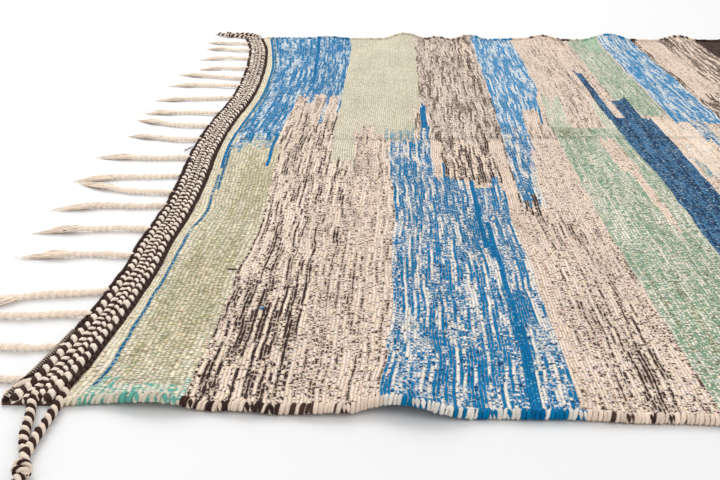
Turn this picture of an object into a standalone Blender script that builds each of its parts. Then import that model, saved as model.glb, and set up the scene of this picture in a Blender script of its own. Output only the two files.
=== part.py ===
"""A flat-woven wool rug lying on a floor: a striped field with thick selvages, a twined band and a warp
fringe at each end, and a rope tassel at each corner.

Metres, +Z up. The origin is the centre of the woven field, on the floor. X runs along the rug and Y
across it, with the near selvage at -Y.
"""

import math

import bmesh
import bpy
from mathutils import Vector

# Driving sizes
LENGTH = 2.40           # from one twined band's outer edge to the other's
WIDTH = 1.50            # selvage to selvage
BAND_WIDTH = 0.038      # the twined band at each end
GAP = 0.0003            # between neighbouring solids

CLOTH_THICK = 0.004     # the field's weave
SELVAGE_THICK = 0.0076  # the wrapped cord along each side
SELVAGE_WIDTH = 0.010
CREASE_RISE = 0.0016    # the line left by folding the rug in half
CREASE_HALF = 0.015     # half that line's width
STATION_STEP = 0.028    # spacing of the field's cross-sections along X

BAND_SHORT = 0.004      # how far the band stops short of the selvage's outer face
BAND_THICK = 0.0046     # between the band's ridges, and at its outer wall
RIDGE_RISE = 0.0014     # how far each twined row stands above that
TWINED_ROWS = 5

FRINGE_THICK = 0.0060   # a twisted bundle of warp ends
FRINGE_TWIST = math.radians(45)  # turn from one section of a bundle to the next
FRINGE_SECTIONS = 9
TIP_SHARE = 0.45        # the tip's thickness as a share of the bundle's
TIP_FROM = 0.75         # how far along a bundle it starts to thin
ROOT_CLEAR = 0.004      # no other section of the band comes this near to a bundle's side

ROPE_THICK = 0.0074     # one two-ply rope of a corner tassel
ROPE_PITCH = 0.024      # length of one full turn of its twist
ROPE_STEP = 0.0030      # spacing of its sections
ROPE_SIDES = 6
LOBE = 0.16             # how far the two plies stand out, as a share of the radius
KNOT_SWELL = 1.55       # the knot's thickness in ropes
KNOT_AT = 0.72          # how far along the long rope its knot is
KNOT_HALF = 0.13        # half the knot's length, as a share of the rope's
TAIL_FROM = 0.9         # how far along the rope its tail starts to thin
TAIL_THIN = 0.35        # how much of its thickness the tail loses

FIELD_HALF = LENGTH / 2 - BAND_WIDTH
EDGE = WIDTH / 2
BAND_END = EDGE - BAND_SHORT

# Where the field's rows of points lie on one side of its middle, in metres: close together at the crease
# and towards the selvage, where the ripples are.
HALF_ROWS = [0, CREASE_HALF, 0.13, 0.26, 0.38, 0.49, 0.58, 0.65, 0.70, EDGE - SELVAGE_WIDTH]
ROWS = [-y for y in reversed(HALF_ROWS[1:])] + HALF_ROWS

# The rounded selvage, from the underside up and back onto the cloth.
SELVAGE_SECTION = [
    # in from the edge in selvage widths, height in selvage thicknesses
    (0.16, 0.00),
    (0.00, 0.31),
    (0.00, 0.69),
    (0.16, 1.00),
    (0.62, 0.96),
]

# How far each end's line wanders along X, in millimetres, read across the rug. Minus is towards -X.
END_LINE = [
    # across, left end, right end
    (-750, -40, 16),
    (-700, -32, 12),
    (-640, -27, 8),
    (-590, -23, 4),
    (-530, -20, -1),
    (-480, -18, -4),
    (-430, -20, -6),
    (-340, -17, -5),
    (-260, -18, -3),
    (-190, -21, 0),
    (-110, -26, 4),
    (-10, -28, 6),
    (80, -26, 8),
    (180, -20, 8),
    (290, -19, 5),
    (410, -24, 1),
    (490, -30, -3),
    (560, -37, -5),
    (640, -47, -5),
    (750, -68, -3),
]
END_FADE = 0.11         # the wander dies away over this length from the end

# Where a selvage lifts off the floor, in millimetres from the left end of the field.
RIPPLES = [
    # side, along, half length, rise
    ("near", 46, 32, 6),
    ("near", 104, 26, 2),
    ("near", 168, 30, 2),
    ("near", 228, 52, 9),
    ("near", 590, 48, 6),
    ("near", 842, 60, 8),
    ("near", 1130, 46, 5),
    ("near", 1398, 62, 9),
    ("near", 1660, 44, 5),
    ("near", 1905, 58, 8),
    ("near", 2146, 50, 6),
    ("far", 84, 40, 4),
    ("far", 236, 52, 12),
    ("far", 302, 30, 5),
    ("far", 372, 40, 9),
    ("far", 531, 46, 8),
    ("far", 664, 54, 11),
    ("far", 812, 50, 10),
    ("far", 934, 44, 12),
    ("far", 1170, 60, 8),
    ("far", 1392, 52, 10),
    ("far", 1610, 46, 7),
    ("far", 1846, 60, 10),
    ("far", 2080, 50, 8),
]
RIPPLE_REACH = 0.115    # how far a ripple runs in from its selvage

# Bundles of the fringe, in millimetres, for the left end. The right end has them turned about.
FRINGE = [
    # root across, tip across, length
    (-712, -716, 122),
    (-656, -660, 120),
    (-595, -603, 124),
    (-545, -552, 121),
    (-455, -455, 100),
    (-381, -384, 108),
    (-304, -314, 112),
    (-258, -226, 118),
    (-192, -214, 120),
    (-115, -118, 112),
    (-28, -10, 94),
    (46, 78, 108),
    (122, 128, 104),
    (220, 203, 112),
    (306, 318, 106),
    (368, 406, 108),
    (451, 450, 72),
    (542, 541, 78),
    (621, 640, 80),
    (690, 700, 74),
]

# The ropes of each corner tassel, in millimetres from the corner of the rug's outline: how far along X,
# growing away from the field, and how far out from the selvage. A short rope ends inside the long one.
TASSELS = {
    "tassel_near_left": {
        "long_rope": [(-12, 0), (-21, 22), (-28, 48), (-36, 70), (-42, 92), (-41, 114), (-38, 134)],
        "short_rope": [(-34, 0), (-38, 22), (-45, 46), (-47, 62), (-38, 77)],
    },
    "tassel_far_left": {
        "long_rope": [(-10, 0), (2, 16), (20, 28), (40, 34), (58, 44), (74, 58), (84, 66)],
        "short_rope": [(-30, 0), (-25, 20), (-12, 38), (6, 49), (25, 49), (38, 34)],
    },
    "tassel_near_right": {
        "long_rope": [(-14, 0), (-10, 22), (-4, 44), (4, 64), (14, 82), (26, 96)],
    },
    "tassel_far_right": {
        "long_rope": [(-14, 0), (-13, 24), (-10, 46), (-9, 68), (-12, 88), (-16, 104)],
    },
}

CLOTH_COLOUR = (0.46, 0.47, 0.42)
TWINING_COLOUR = (0.32, 0.26, 0.21)
ROPE_COLOUR = (0.45, 0.37, 0.30)

MM = 0.001
FINE_STEPS = 20         # readings between two given points of a rope's route


def clear_scene():
    for found in list(bpy.data.objects):
        bpy.data.objects.remove(found)


def wool(name, colour):
    """A plain wool finish."""
    made = bpy.data.materials.new(name)
    made.use_nodes = True
    shader = made.node_tree.nodes["Principled BSDF"]
    shader.inputs["Base Color"].default_value = (*colour, 1)
    shader.inputs["Roughness"].default_value = 0.95
    shader.inputs["Metallic"].default_value = 0
    return made


def new_object(name, mesh_data, material):
    """Links one piece, with its faces out, and gives it its finish."""
    bmesh.ops.recalc_face_normals(mesh_data, faces=mesh_data.faces)
    mesh = bpy.data.meshes.new(name)
    mesh_data.to_mesh(mesh)
    mesh_data.free()
    mesh.materials.append(material)
    made = bpy.data.objects.new(name, mesh)
    bpy.context.scene.collection.objects.link(made)
    return made


def bell(t):
    """1 at 0, falling smoothly to 0 at 1 and beyond."""
    return math.cos(min(abs(t), 1.0) * math.pi / 2) ** 2


def through(table, column, at):
    """A smooth line through one column of a table, read at a value of its first column."""
    rows = [table[0]] + list(table) + [table[-1]]
    for before, low, high, after in zip(rows, rows[1:], rows[2:], rows[3:]):
        if low[0] <= at <= high[0] and high[0] > low[0]:
            t = (at - low[0]) / (high[0] - low[0])
            a, b, c, d = (row[column] for row in (before, low, high, after))
            return b + 0.5 * t * (c - a + t * (2 * a - 5 * b + 4 * c - d + t * (3 * (b - c) + d - a)))
    return table[0][column] if at < table[0][0] else table[-1][column]


def end_wander(y, end):
    """How far an end's line stands from straight, by straight stretches between the rows."""
    column = 1 if end < 0 else 2
    places = [-EDGE] + ROWS + [EDGE]
    y = max(-EDGE, min(EDGE, y))
    for low, high in zip(places, places[1:]):
        if low <= y <= high:
            share = (y - low) / (high - low)
            ends = [through(END_LINE, column, place / MM) * MM for place in (low, high)]
            return ends[0] + share * (ends[1] - ends[0])
    raise ValueError("y is off the rug")


def in_plan(x, y):
    """Where a point of the straight field lies once its ends have wandered."""
    left = end_wander(y, -1) * math.exp(-(x + FIELD_HALF) / END_FADE)
    right = end_wander(y, 1) * math.exp(-(FIELD_HALF - x) / END_FADE)
    return x + left + right


def lift(x, y):
    """How far the cloth stands off the floor."""
    side = "near" if y < 0 else "far"
    inward = (EDGE - abs(y)) / RIPPLE_REACH
    along = (x + FIELD_HALF) / MM
    rise = max((row[3] * bell((along - row[1]) / row[2]) for row in RIPPLES if row[0] == side), default=0)
    return rise * MM * bell(inward)


def field_section(x):
    """One closed cross-section of the field: underside, far selvage, top, near selvage."""
    def place(y, z):
        return Vector((in_plan(x, y), y, lift(x, y) + z))

    round_edge = [(EDGE - SELVAGE_WIDTH * inward, SELVAGE_THICK * up) for inward, up in SELVAGE_SECTION]
    under = [place(y, 0) for y in ROWS]
    top = [place(y, CLOTH_THICK + CREASE_RISE * bell(y / CREASE_HALF)) for y in ROWS]
    far = [place(y, z) for y, z in round_edge]
    near = [place(-y, z) for y, z in round_edge]
    return under, far, top, near


def field(material):
    """The woven field with its selvages, as one sheet."""
    bm = bmesh.new()
    count = round(2 * FIELD_HALF / STATION_STEP)
    stations = [-FIELD_HALF + 2 * FIELD_HALF * i / count for i in range(count + 1)]
    loops = []
    for x in stations:
        under, far, top, near = field_section(x)
        rings = [under, far, top[::-1], near[::-1]]
        loops.append([[bm.verts.new(point) for point in ring] for ring in rings])
    for one, two in zip(loops, loops[1:]):
        ring_one, ring_two = sum(one, []), sum(two, [])
        for i, vertex in enumerate(ring_one):
            after = (i + 1) % len(ring_one)
            bm.faces.new((vertex, ring_one[after], ring_two[after], ring_two[i]))
    for under, far, top, near in (loops[0], loops[-1]):
        top = top[::-1]
        for i in range(len(ROWS) - 1):
            bm.faces.new((under[i], under[i + 1], top[i + 1], top[i]))
        bm.faces.new([under[-1], *far, top[-1]])
        bm.faces.new([top[0], *near, under[0]])
    return new_object("rug_field", bm, material)


def band_places():
    """Where the band's sections lie across the rug: the field's rows, and both sides of each bundle."""
    places = {-BAND_END, BAND_END}
    places.update(y for y in ROWS if abs(y) < BAND_END)
    roots = [row[0] * MM + side * FRINGE_THICK / 2 for row in FRINGE for side in (-1, 1)]
    clear = [y for y in places if all(abs(y - root) > ROOT_CLEAR for root in roots)]
    return sorted(clear + roots)


def band_section(y, end):
    """One cross-section of the twined band, from its inner bottom edge over the top to its outer one."""
    inner = FIELD_HALF + GAP
    across = [(inner, 0.0), (inner, BAND_THICK)]
    row_width = (BAND_WIDTH - GAP) / TWINED_ROWS
    for row in range(TWINED_ROWS):
        start = inner + row * row_width
        across.append((start + row_width / 2, BAND_THICK + RIDGE_RISE))
        across.append((start + row_width, BAND_THICK))
    across.append((inner + BAND_WIDTH - GAP, 0.0))
    return [Vector((end * x + end_wander(y, end), y, z)) for x, z in across]


def grow_bundle(bm, face, row, end):
    """Extrudes one bundle of the fringe from its root on the band's outer wall, twisting as it goes."""
    root = face.calc_center_median()
    root_at, tip_at, long = (value * MM for value in row)
    radius = FRINGE_THICK / 2
    corners = [vertex.co.copy() - root for vertex in face.verts]
    angles = [math.atan2(corner.z, corner.y) for corner in corners]
    for step in range(1, FRINGE_SECTIONS + 1):
        share = step / FRINGE_SECTIONS
        size = radius * (1 - (1 - TIP_SHARE) * max(0, share - TIP_FROM) / (1 - TIP_FROM))
        centre = Vector((root.x + end * long * share, root.y + (tip_at - root_at) * share**2, size))
        turn = FRINGE_TWIST * step
        face = bmesh.ops.extrude_discrete_faces(bm, faces=[face])["faces"][0]
        for vertex, angle in zip(face.verts, angles):
            turned = angle + turn
            vertex.co = centre + size * Vector((0, math.cos(turned), math.sin(turned)))


def band(name, end, material):
    """The twined band with the fringe that grows from it."""
    bm = bmesh.new()
    rows = [(-end * root, -end * tip, long) for root, tip, long in FRINGE]
    places = sorted(-end * y for y in band_places())
    sections = [[bm.verts.new(point) for point in band_section(y, end)] for y in places]
    outer_wall = []
    for one, two in zip(sections, sections[1:]):
        for i in range(len(one)):
            after = (i + 1) % len(one)
            made = bm.faces.new((one[i], one[after], two[after], two[i]))
            if after == len(one) - 1:
                outer_wall.append(made)
    bm.faces.new(sections[0])
    bm.faces.new(sections[-1][::-1])
    bmesh.ops.recalc_face_normals(bm, faces=bm.faces)
    for row in rows:
        root = min(outer_wall, key=lambda face: abs(face.calc_center_median().y - row[0] * MM))
        outer_wall.remove(root)
        grow_bundle(bm, root, row, end)
    return new_object(name, bm, material)


def smooth_path(points, step):
    """Evenly spaced points of a smooth curve through a few given ones."""
    table = [(i, *point) for i, point in enumerate(points)]
    steps = [i / FINE_STEPS for i in range(FINE_STEPS * (len(points) - 1) + 1)]
    fine = [(through(table, 1, at), through(table, 2, at)) for at in steps]
    spaced, since = [Vector(fine[0])], 0.0
    for one, two in zip(fine, fine[1:]):
        since += (Vector(two) - Vector(one)).length
        if since >= step:
            spaced.append(Vector(two))
            since = 0.0
    return spaced


def rope(name, points, knotted, material):
    """A two-ply rope that lies on the floor: an oval section that turns as it goes, swollen at its knot."""
    bm = bmesh.new()
    path = smooth_path(points, ROPE_STEP)
    rings = []
    for i, place in enumerate(path):
        share = i / (len(path) - 1)
        ahead = (path[min(i + 1, len(path) - 1)] - path[max(i - 1, 0)]).normalized()
        if i == 0:
            ahead = Vector((0, math.copysign(1, ahead.y)))
        size = ROPE_THICK / 2
        if knotted:
            size *= 1 + (KNOT_SWELL - 1) * bell((share - KNOT_AT) / KNOT_HALF)
            size *= 1 - TAIL_THIN * max(0, share - TAIL_FROM) / (1 - TAIL_FROM)
        side = Vector((-ahead.y, ahead.x, 0))
        turn = 2 * math.pi * i * ROPE_STEP / ROPE_PITCH
        ring = []
        for corner in range(ROPE_SIDES):
            angle = 2 * math.pi * corner / ROPE_SIDES
            reach = size * (1 - LOBE + LOBE * math.cos(2 * angle))
            offset = side * reach * math.cos(angle + turn) + Vector((0, 0, reach * math.sin(angle + turn)))
            ring.append(bm.verts.new(Vector((place.x, place.y, size)) + offset))
        rings.append(ring)
    for one, two in zip(rings, rings[1:]):
        for i in range(ROPE_SIDES):
            after = (i + 1) % ROPE_SIDES
            bm.faces.new((one[i], one[after], two[after], two[i]))
    bm.faces.new(rings[0])
    bm.faces.new(rings[-1][::-1])
    return new_object(name, bm, material)


def tassel(name, ropes, material):
    """A knotted rope at a corner, and on some corners a second one that joins it before the knot."""
    side = -1 if "near" in name else 1
    end = -1 if "left" in name else 1
    corner_x = end * (FIELD_HALF + BAND_WIDTH) + end_wander(side * EDGE, end)
    start_y = BAND_END + GAP

    def placed(points):
        return [(corner_x + end * along * MM, side * (start_y + out * MM)) for along, out in points]

    made = rope(name, placed(ropes["long_rope"]), True, material)
    if "short_rope" not in ropes:
        return made
    joined = rope(name + "_short_rope", placed(ropes["short_rope"]), False, material)
    joined.hide_render = True
    joined.display_type = "WIRE"
    union = made.modifiers.new("join the short rope", "BOOLEAN")
    union.operation = "UNION"
    union.solver = "EXACT"
    union.object = joined
    return made


def build():
    clear_scene()
    cloth = wool("woven wool", CLOTH_COLOUR)
    twining = wool("twined wool", TWINING_COLOUR)
    rope_wool = wool("plied wool", ROPE_COLOUR)
    field(cloth)
    band("end_band_left", -1, twining)
    band("end_band_right", 1, twining)
    for name, ropes in TASSELS.items():
        tassel(name, ropes, rope_wool)


build()
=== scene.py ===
# %% [markdown]
# # A flat-woven wool rug, dressed yarn by yarn
# The real rug is woven in one piece. Thick wool weft is beaten down so hard that it hides the warp,
# the weft's colour changes as the weaver goes, and both ends are closed with twined rows and a fringe.
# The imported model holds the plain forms. This script lays the wool on them.
# Everything is in metres, with +X along the rug, +Y across it and +Z up from the floor.

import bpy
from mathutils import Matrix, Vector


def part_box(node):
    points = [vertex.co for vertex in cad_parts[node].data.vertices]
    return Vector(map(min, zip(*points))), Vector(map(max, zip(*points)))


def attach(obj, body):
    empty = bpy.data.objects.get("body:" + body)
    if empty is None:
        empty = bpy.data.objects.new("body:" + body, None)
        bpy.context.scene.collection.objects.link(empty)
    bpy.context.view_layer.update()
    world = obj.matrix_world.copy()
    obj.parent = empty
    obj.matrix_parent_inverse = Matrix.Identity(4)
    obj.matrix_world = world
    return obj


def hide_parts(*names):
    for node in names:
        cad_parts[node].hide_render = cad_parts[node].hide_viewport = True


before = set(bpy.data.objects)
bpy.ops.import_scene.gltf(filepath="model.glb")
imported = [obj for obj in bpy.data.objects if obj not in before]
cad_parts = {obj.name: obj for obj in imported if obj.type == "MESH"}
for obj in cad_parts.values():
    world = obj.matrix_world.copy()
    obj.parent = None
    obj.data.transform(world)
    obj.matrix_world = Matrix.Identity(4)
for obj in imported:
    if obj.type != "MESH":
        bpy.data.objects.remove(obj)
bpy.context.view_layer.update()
print("nodes:", sorted(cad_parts))

# %% Tools from Python and Blender
import math

import bpy
import numpy as np
from mathutils import Vector

MM = 0.001

# %% [markdown]
# ## Sizes of the rug
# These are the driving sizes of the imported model, with the three tables that make it uneven.
# A weaver's edge is never a straight line, so each end has a table of how far it wanders. A second
# table bends the rows of weft near the left end, and in a third each place where a selvage lifts off
# the floor has a row of its own. The other way would be noise, but a table puts each ripple where
# the real one is.

# %% Driving sizes
FIELD_HALF = 1.162      # half the woven field's length
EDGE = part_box("rug_field")[1].y
BAND_WIDTH = 0.038
BAND_END = EDGE - 0.004
CLOTH_THICK = 0.004
CREASE_RISE = 0.0016
CREASE_HALF = 0.015
RIPPLE_REACH = 0.115    # how far a ripple runs in from its selvage
WANDER_FADE = 0.055     # how soon the rows of weft lie straight again beyond the right end

END_LINE = np.array([
    # across, left end, right end (mm)
    (-750, -40, 16), (-700, -32, 12), (-640, -27, 8), (-590, -23, 4), (-530, -20, -1), (-480, -18, -4),
    (-430, -20, -6), (-340, -17, -5), (-260, -18, -3), (-190, -21, 0), (-110, -26, 4), (-10, -28, 6),
    (80, -26, 8), (180, -20, 8), (290, -19, 5), (410, -24, 1), (490, -30, -3), (560, -37, -5),
    (640, -47, -5), (750, -68, -3),
])

BENT_ROWS = [
    # place of a row of weft from the left end, then where across and how far it strays there (mm)
    (10, [(-750, -36), (-730, -33), (-710, -28), (-690, -25), (-610, -24), (-550, -21.6),
          (-490, -19.6), (-410, -20), (-370, -18.6), (-350, -13), (-330, -11.5), (-250, -16.4),
          (-170, -20.4), (-90, -26.4), (-10, -27), (150, -20), (250, -17), (350, -20), (450, -25),
          (550, -36), (650, -49), (750, -62)]),
    (60, [(-750, -5), (-650, -2), (-550, 0), (-490, 0), (-410, 5.5), (-370, 7), (-330, 5), (-250, 2),
          (-150, -2), (-50, -4), (100, 0), (350, 4), (550, -4), (650, -10), (750, -16)]),
    (128, [(-750, 0), (650, 0), (750, -7)]),
    (209, [(-750, -1), (-720, 0), (-650, 5), (-550, 7), (-450, 6), (-350, 10), (-250, 7), (-50, -1),
           (100, 0), (750, 0)]),
    (356, [(-750, 0), (-650, 0), (-550, -2), (-450, -3), (-350, -9), (-250, -7), (-10, -4), (150, 0),
           (750, 0)]),
    (463, [(-750, 0), (-650, -4), (-550, -6), (-450, -10), (-250, -13), (-150, -14), (50, -13), (250, 0),
           (750, 0)]),
    (553, [(-750, 0), (-190, 0), (-100, -3), (-30, -6), (100, -6), (750, -4)]),
    (610, [(-750, 0), (750, 0)]),
]

RIPPLES = {
    # along from the left end, half length, rise (mm)
    "near": [
        (46, 32, 6), (104, 26, 2), (168, 30, 2), (228, 52, 9), (590, 48, 6), (842, 60, 8),
        (1130, 46, 5), (1398, 62, 9), (1660, 44, 5), (1905, 58, 8), (2146, 50, 6),
    ],
    "far": [
        (84, 40, 4), (236, 52, 12), (302, 30, 5), (372, 40, 9), (531, 46, 8), (664, 54, 11), (812, 50, 10),
        (934, 44, 12), (1170, 60, 8), (1392, 52, 10), (1610, 46, 7), (1846, 60, 10), (2080, 50, 8),
    ],
}
print("rug", 2 * EDGE, "m wide, ripples", {side: len(rows) for side, rows in RIPPLES.items()})

# %% [markdown]
# ## Smooth curves and uneven fields
# A few small tools shape everything that follows. `through` reads a smooth line through given
# points, and `even` spaces points along such a line. `bell` is a soft bump. `waves` adds a few sine
# waves at random angles, which looks like the slow unevenness of cloth, costs nothing, and with a
# seed is the same each time. `unevenness` is the same along one line.

# %% Curve tools
WAVE_LENGTHS = (0.7, 1.5)       # the single waves' lengths beside the one asked for
READINGS = 24                   # between two given points of a smooth line


def through(places, values, at):
    """A smooth line through given values, read at any places between the first and the last."""
    places, values = np.asarray(places, float), np.asarray(values, float)
    at = np.clip(at, places[0], places[-1])
    k = np.clip(np.searchsorted(places, at, side="right") - 1, 0, len(places) - 2)
    t = (at - places[k]) / (places[k + 1] - places[k])
    a, b = values[np.maximum(k - 1, 0)], values[k]
    c, d = values[k + 1], values[np.minimum(k + 2, len(values) - 1)]
    return b + 0.5 * t * (c - a + t * (2 * a - 5 * b + 4 * c - d + t * (3 * (b - c) + d - a)))


def bell(t):
    """1 at 0, falling smoothly to 0 at 1 and beyond."""
    return np.cos(np.minimum(np.abs(t), 1.0) * math.pi / 2) ** 2


def waves(x, y, length, seed, count=6):
    """A slow unevenness of about -1 to 1 whose bumps are about one length apart."""
    chosen = np.random.default_rng(seed)
    total = 0.0
    for _ in range(count):
        angle = chosen.uniform(0, math.pi)
        phase = chosen.uniform(0, 2 * math.pi)
        stretch = chosen.uniform(*WAVE_LENGTHS)
        far = x * math.cos(angle) + y * math.sin(angle)
        total = total + np.sin(far * 2 * math.pi / (length * stretch) + phase)
    return total / math.sqrt(count)


def unevenness(x, length, seed):
    """Waves along one line."""
    return waves(x, x * 0, length, seed)


def measured(path):
    """How far along a path each of its points lies."""
    return np.concatenate([[0], np.cumsum(np.linalg.norm(np.diff(path, axis=0), axis=1))])


def even(points, step):
    """Evenly spaced points of a smooth curve through a few given ones."""
    points = np.asarray(points, float)
    places = np.arange(len(points))
    fine = np.linspace(0, len(points) - 1, READINGS * (len(points) - 1) + 1)
    curve = np.stack([through(places, column, fine) for column in points.T], -1)
    far = measured(curve)
    at = np.linspace(0, far[-1], max(3, round(far[-1] / step) + 1))
    return np.stack([np.interp(at, far, column) for column in curve.T], -1)


# %% [markdown]
# ## From the straight cloth to the real one
# It is easiest to think of the cloth as it was on the loom, straight and flat, and to move every
# point of it afterwards. `on_rug` does that: it shifts the ends, lets the rows of weft sway a little,
# lets the selvages wobble, bows the near one out and lifts the ripples. Whatever lies on the cloth
# goes through the same function, so the pieces always fit each other.

# %% The rug's shape
SWAY = 0.0010           # how far a row of weft strays from its line
SWAY_LENGTH = 0.08
SWAY_EASE = 0.12        # the sway dies out this near an end, where the band holds the rows
EDGE_WOBBLE = 0.0011
WOBBLE_LENGTH = 0.09
WOBBLE_HOLD = 7         # the higher, the closer the wobble keeps to the selvages
PUCKER = 0.0011         # how high the cloth stands in small puckers
PUCKER_LENGTH = 0.13
NEAR_LINE = np.array([
    # from the left end, how far the near selvage bows out there (mm)
    (0, -2), (20, -5), (42, 0), (70, 1), (115, 6), (140, 5), (175, 6), (205, 2), (250, 9), (290, 6),
    (330, 7), (400, 9), (500, 11), (600, 14), (700, 15), (1000, 9), (1400, 0),
])
NEAR_REACH = 0.16       # how far in from the selvage that is felt


def wander(across, end):
    """How far an end's line stands from straight."""
    return through(END_LINE[:, 0], END_LINE[:, 1 if end < 0 else 2], across / MM) * MM


def bent(along, across):
    """How far the rows of weft near the left end stray from straight."""
    from_end = (along + FIELD_HALF) / MM
    rows = [(0.0, wander(across, -1) / MM)]
    rows += [(place, through(*np.transpose(strays), across / MM)) for place, strays in BENT_ROWS]
    stray = np.where(from_end < 0, rows[0][1], 0.0)
    for (start, one), (stop, two) in zip(rows, rows[1:]):
        share = (from_end - start) / (stop - start)
        stray = np.where((share >= 0) & (share < 1), one + (two - one) * share, stray)
    return stray * MM


def lift(along, across):
    """How far the cloth stands off the floor at its ripples."""
    from_end = (along + FIELD_HALF) / MM
    rise = np.zeros(np.broadcast(along, across).shape)
    for side, rows in RIPPLES.items():
        on_side = (across < 0) == (side == "near")
        for place, half, height in rows:
            rise = np.maximum(rise, np.where(on_side, height * bell((from_end - place) / half), 0))
    return rise * MM * bell((EDGE - np.abs(across)) / RIPPLE_REACH)


def on_rug(along, across, height):
    """Where a point of the straight, flat cloth lies on the real one."""
    along, across, height = np.broadcast_arrays(along, across, height)
    loose = np.clip((FIELD_HALF - np.abs(along)) / SWAY_EASE, 0, 1)
    x = along + bent(along, across)
    x = x + wander(across, 1) * np.exp(-np.maximum(0, FIELD_HALF - along) / WANDER_FADE)
    x = x + SWAY * waves(along, across, SWAY_LENGTH, seed=3) * loose
    y = across + EDGE_WOBBLE * unevenness(along, WOBBLE_LENGTH, seed=5) * (across / EDGE) ** WOBBLE_HOLD
    bow = through(NEAR_LINE[:, 0], NEAR_LINE[:, 1], (along + FIELD_HALF) / MM) * MM
    y = y - bow * bell(np.minimum(across + EDGE, NEAR_REACH) / NEAR_REACH)
    puckers = PUCKER * np.maximum(0, waves(along, across, PUCKER_LENGTH, seed=8)) * loose
    return np.stack([x, y, lift(along, across) + puckers + height], -1)


corner = on_rug(-FIELD_HALF, -EDGE, 0)
print("near left corner of the field at", np.round(corner, 4))

# %% [markdown]
# ## Dyes
# Natural wool is cream or dark brown, and the dyed yarns are blue, navy, sage and green. Every yarn
# of the weft is mixed: the weaver twists two colours together, so a stripe reads as streaks of one
# colour on another with flecks of a third. A table says which three colours a stripe has and how
# much of the streaks and flecks there is. Colours are named as seen, and `dye` turns them into the
# linear numbers that Blender works with.

# %% Colours of the yarns
def dye(red, green, blue):
    """A colour as it looks on a screen, from 0 to 255, as linear values."""
    seen = np.array([red, green, blue]) / 255
    return np.where(seen <= 0.04045, seen / 12.92, ((seen + 0.055) / 1.055) ** 2.4)


CREAM = dye(236, 218, 200)
DARK_BROWN = dye(62, 43, 38)
UMBER = dye(46, 32, 29)

STRIPES = {
    # ground, streaks, their share, flecks, their share, how far streaks run in lines, width of a line
    "pale": (dye(232, 221, 198), dye(204, 196, 166), 0.38, dye(170, 146, 120), 0.14, 0.20, 0.6),
    "sage": (dye(230, 217, 193), dye(165, 165, 137), 0.47, dye(164, 142, 116), 0.13, 0.15, 0.6),
    "olive": (dye(216, 203, 174), dye(152, 152, 120), 0.46, dye(152, 130, 104), 0.13, 0.20, 0.6),
    "teal": (dye(222, 212, 194), dye(100, 172, 156), 0.40, dye(168, 196, 174), 0.16, 0.20, 0.6),
    "soft_sage": (dye(222, 212, 192), dye(186, 184, 158), 0.42, dye(166, 148, 124), 0.10, 0.15, 0.6),
    "brown": (dye(235, 215, 196), dye(64, 45, 40), 0.46, dye(64, 46, 40), 0.05, 0.66, 0.34),
    "dark_brown": (dye(232, 211, 192), dye(58, 41, 37), 0.52, dye(56, 40, 36), 0.08, 0.70, 0.40),
    "mid_brown": (dye(224, 207, 192), dye(88, 68, 58), 0.46, dye(76, 58, 52), 0.10, 0.58, 0.42),
    "light_brown": (dye(232, 211, 193), dye(80, 60, 52), 0.39, dye(80, 60, 53), 0.05, 0.50, 0.30),
    "cream": (dye(231, 210, 192), dye(160, 132, 112), 0.26, dye(104, 82, 72), 0.06, 0.45, 0.34),
    "flecked_cream": (dye(231, 211, 193), dye(88, 67, 59), 0.25, dye(80, 60, 54), 0.07, 0.45, 0.30),
    "peach": (dye(240, 221, 202), dye(216, 184, 156), 0.36, dye(104, 146, 176), 0.04, 0.5, 0.4),
    "blue": (dye(224, 218, 209), dye(0, 112, 162), 0.57, dye(14, 62, 104), 0.08, 0.66, 0.46),
    "far_blue": (dye(198, 209, 214), dye(0, 112, 164), 0.64, dye(14, 62, 104), 0.06, 0.66, 0.46),
    "light_blue": (dye(216, 219, 218), dye(14, 126, 180), 0.57, dye(60, 120, 160), 0.08, 0.66, 0.46),
    "sky": (dye(218, 212, 194), dye(58, 138, 168), 0.46, dye(140, 136, 110), 0.18, 0.4, 0.5),
    "solid_blue": (dye(0, 110, 162), dye(0, 92, 142), 0.40, dye(100, 158, 188), 0.05, 0.3, 0.5),
    "fine_blue": (dye(206, 204, 180), dye(16, 92, 132), 0.84, dye(150, 182, 180), 0.06, 0.7, 0.36),
    "green": (dye(220, 214, 197), dye(122, 154, 127), 0.51, dye(118, 112, 92), 0.08, 0.4, 0.5),
    "pale_green": (dye(224, 216, 198), dye(160, 180, 154), 0.44, dye(152, 132, 110), 0.08, 0.4, 0.5),
    "deep_green": (dye(202, 200, 176), dye(98, 124, 92), 0.48, dye(118, 104, 82), 0.12, 0.4, 0.5),
    "strong_green": (dye(186, 202, 178), dye(116, 160, 130), 0.50, dye(212, 212, 194), 0.12, 0.3, 0.5),
    "navy": (dye(70, 118, 156), dye(26, 50, 82), 0.54, dye(142, 160, 172), 0.13, 0.5, 0.5),
    "umber": (dye(74, 56, 50), dye(46, 33, 30), 0.50, dye(130, 108, 96), 0.10, 0.5, 0.5),
}
STRIPE_NAMES = list(STRIPES)
print(len(STRIPES), "stripe colours")

# %% [markdown]
# ## Where the colours lie
# The weaver works from one end to the other, and often changes colour partway across, so a stripe
# may stop in the middle of the cloth with a ragged edge where single rows of weft reach further than
# others. Each row of this table is one such block. Later rows are woven over earlier ones, and the
# two last columns say how ragged its near and far ends are. Past the part of the rug that shows, the
# blocks go on plainly in the same colours.

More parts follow.
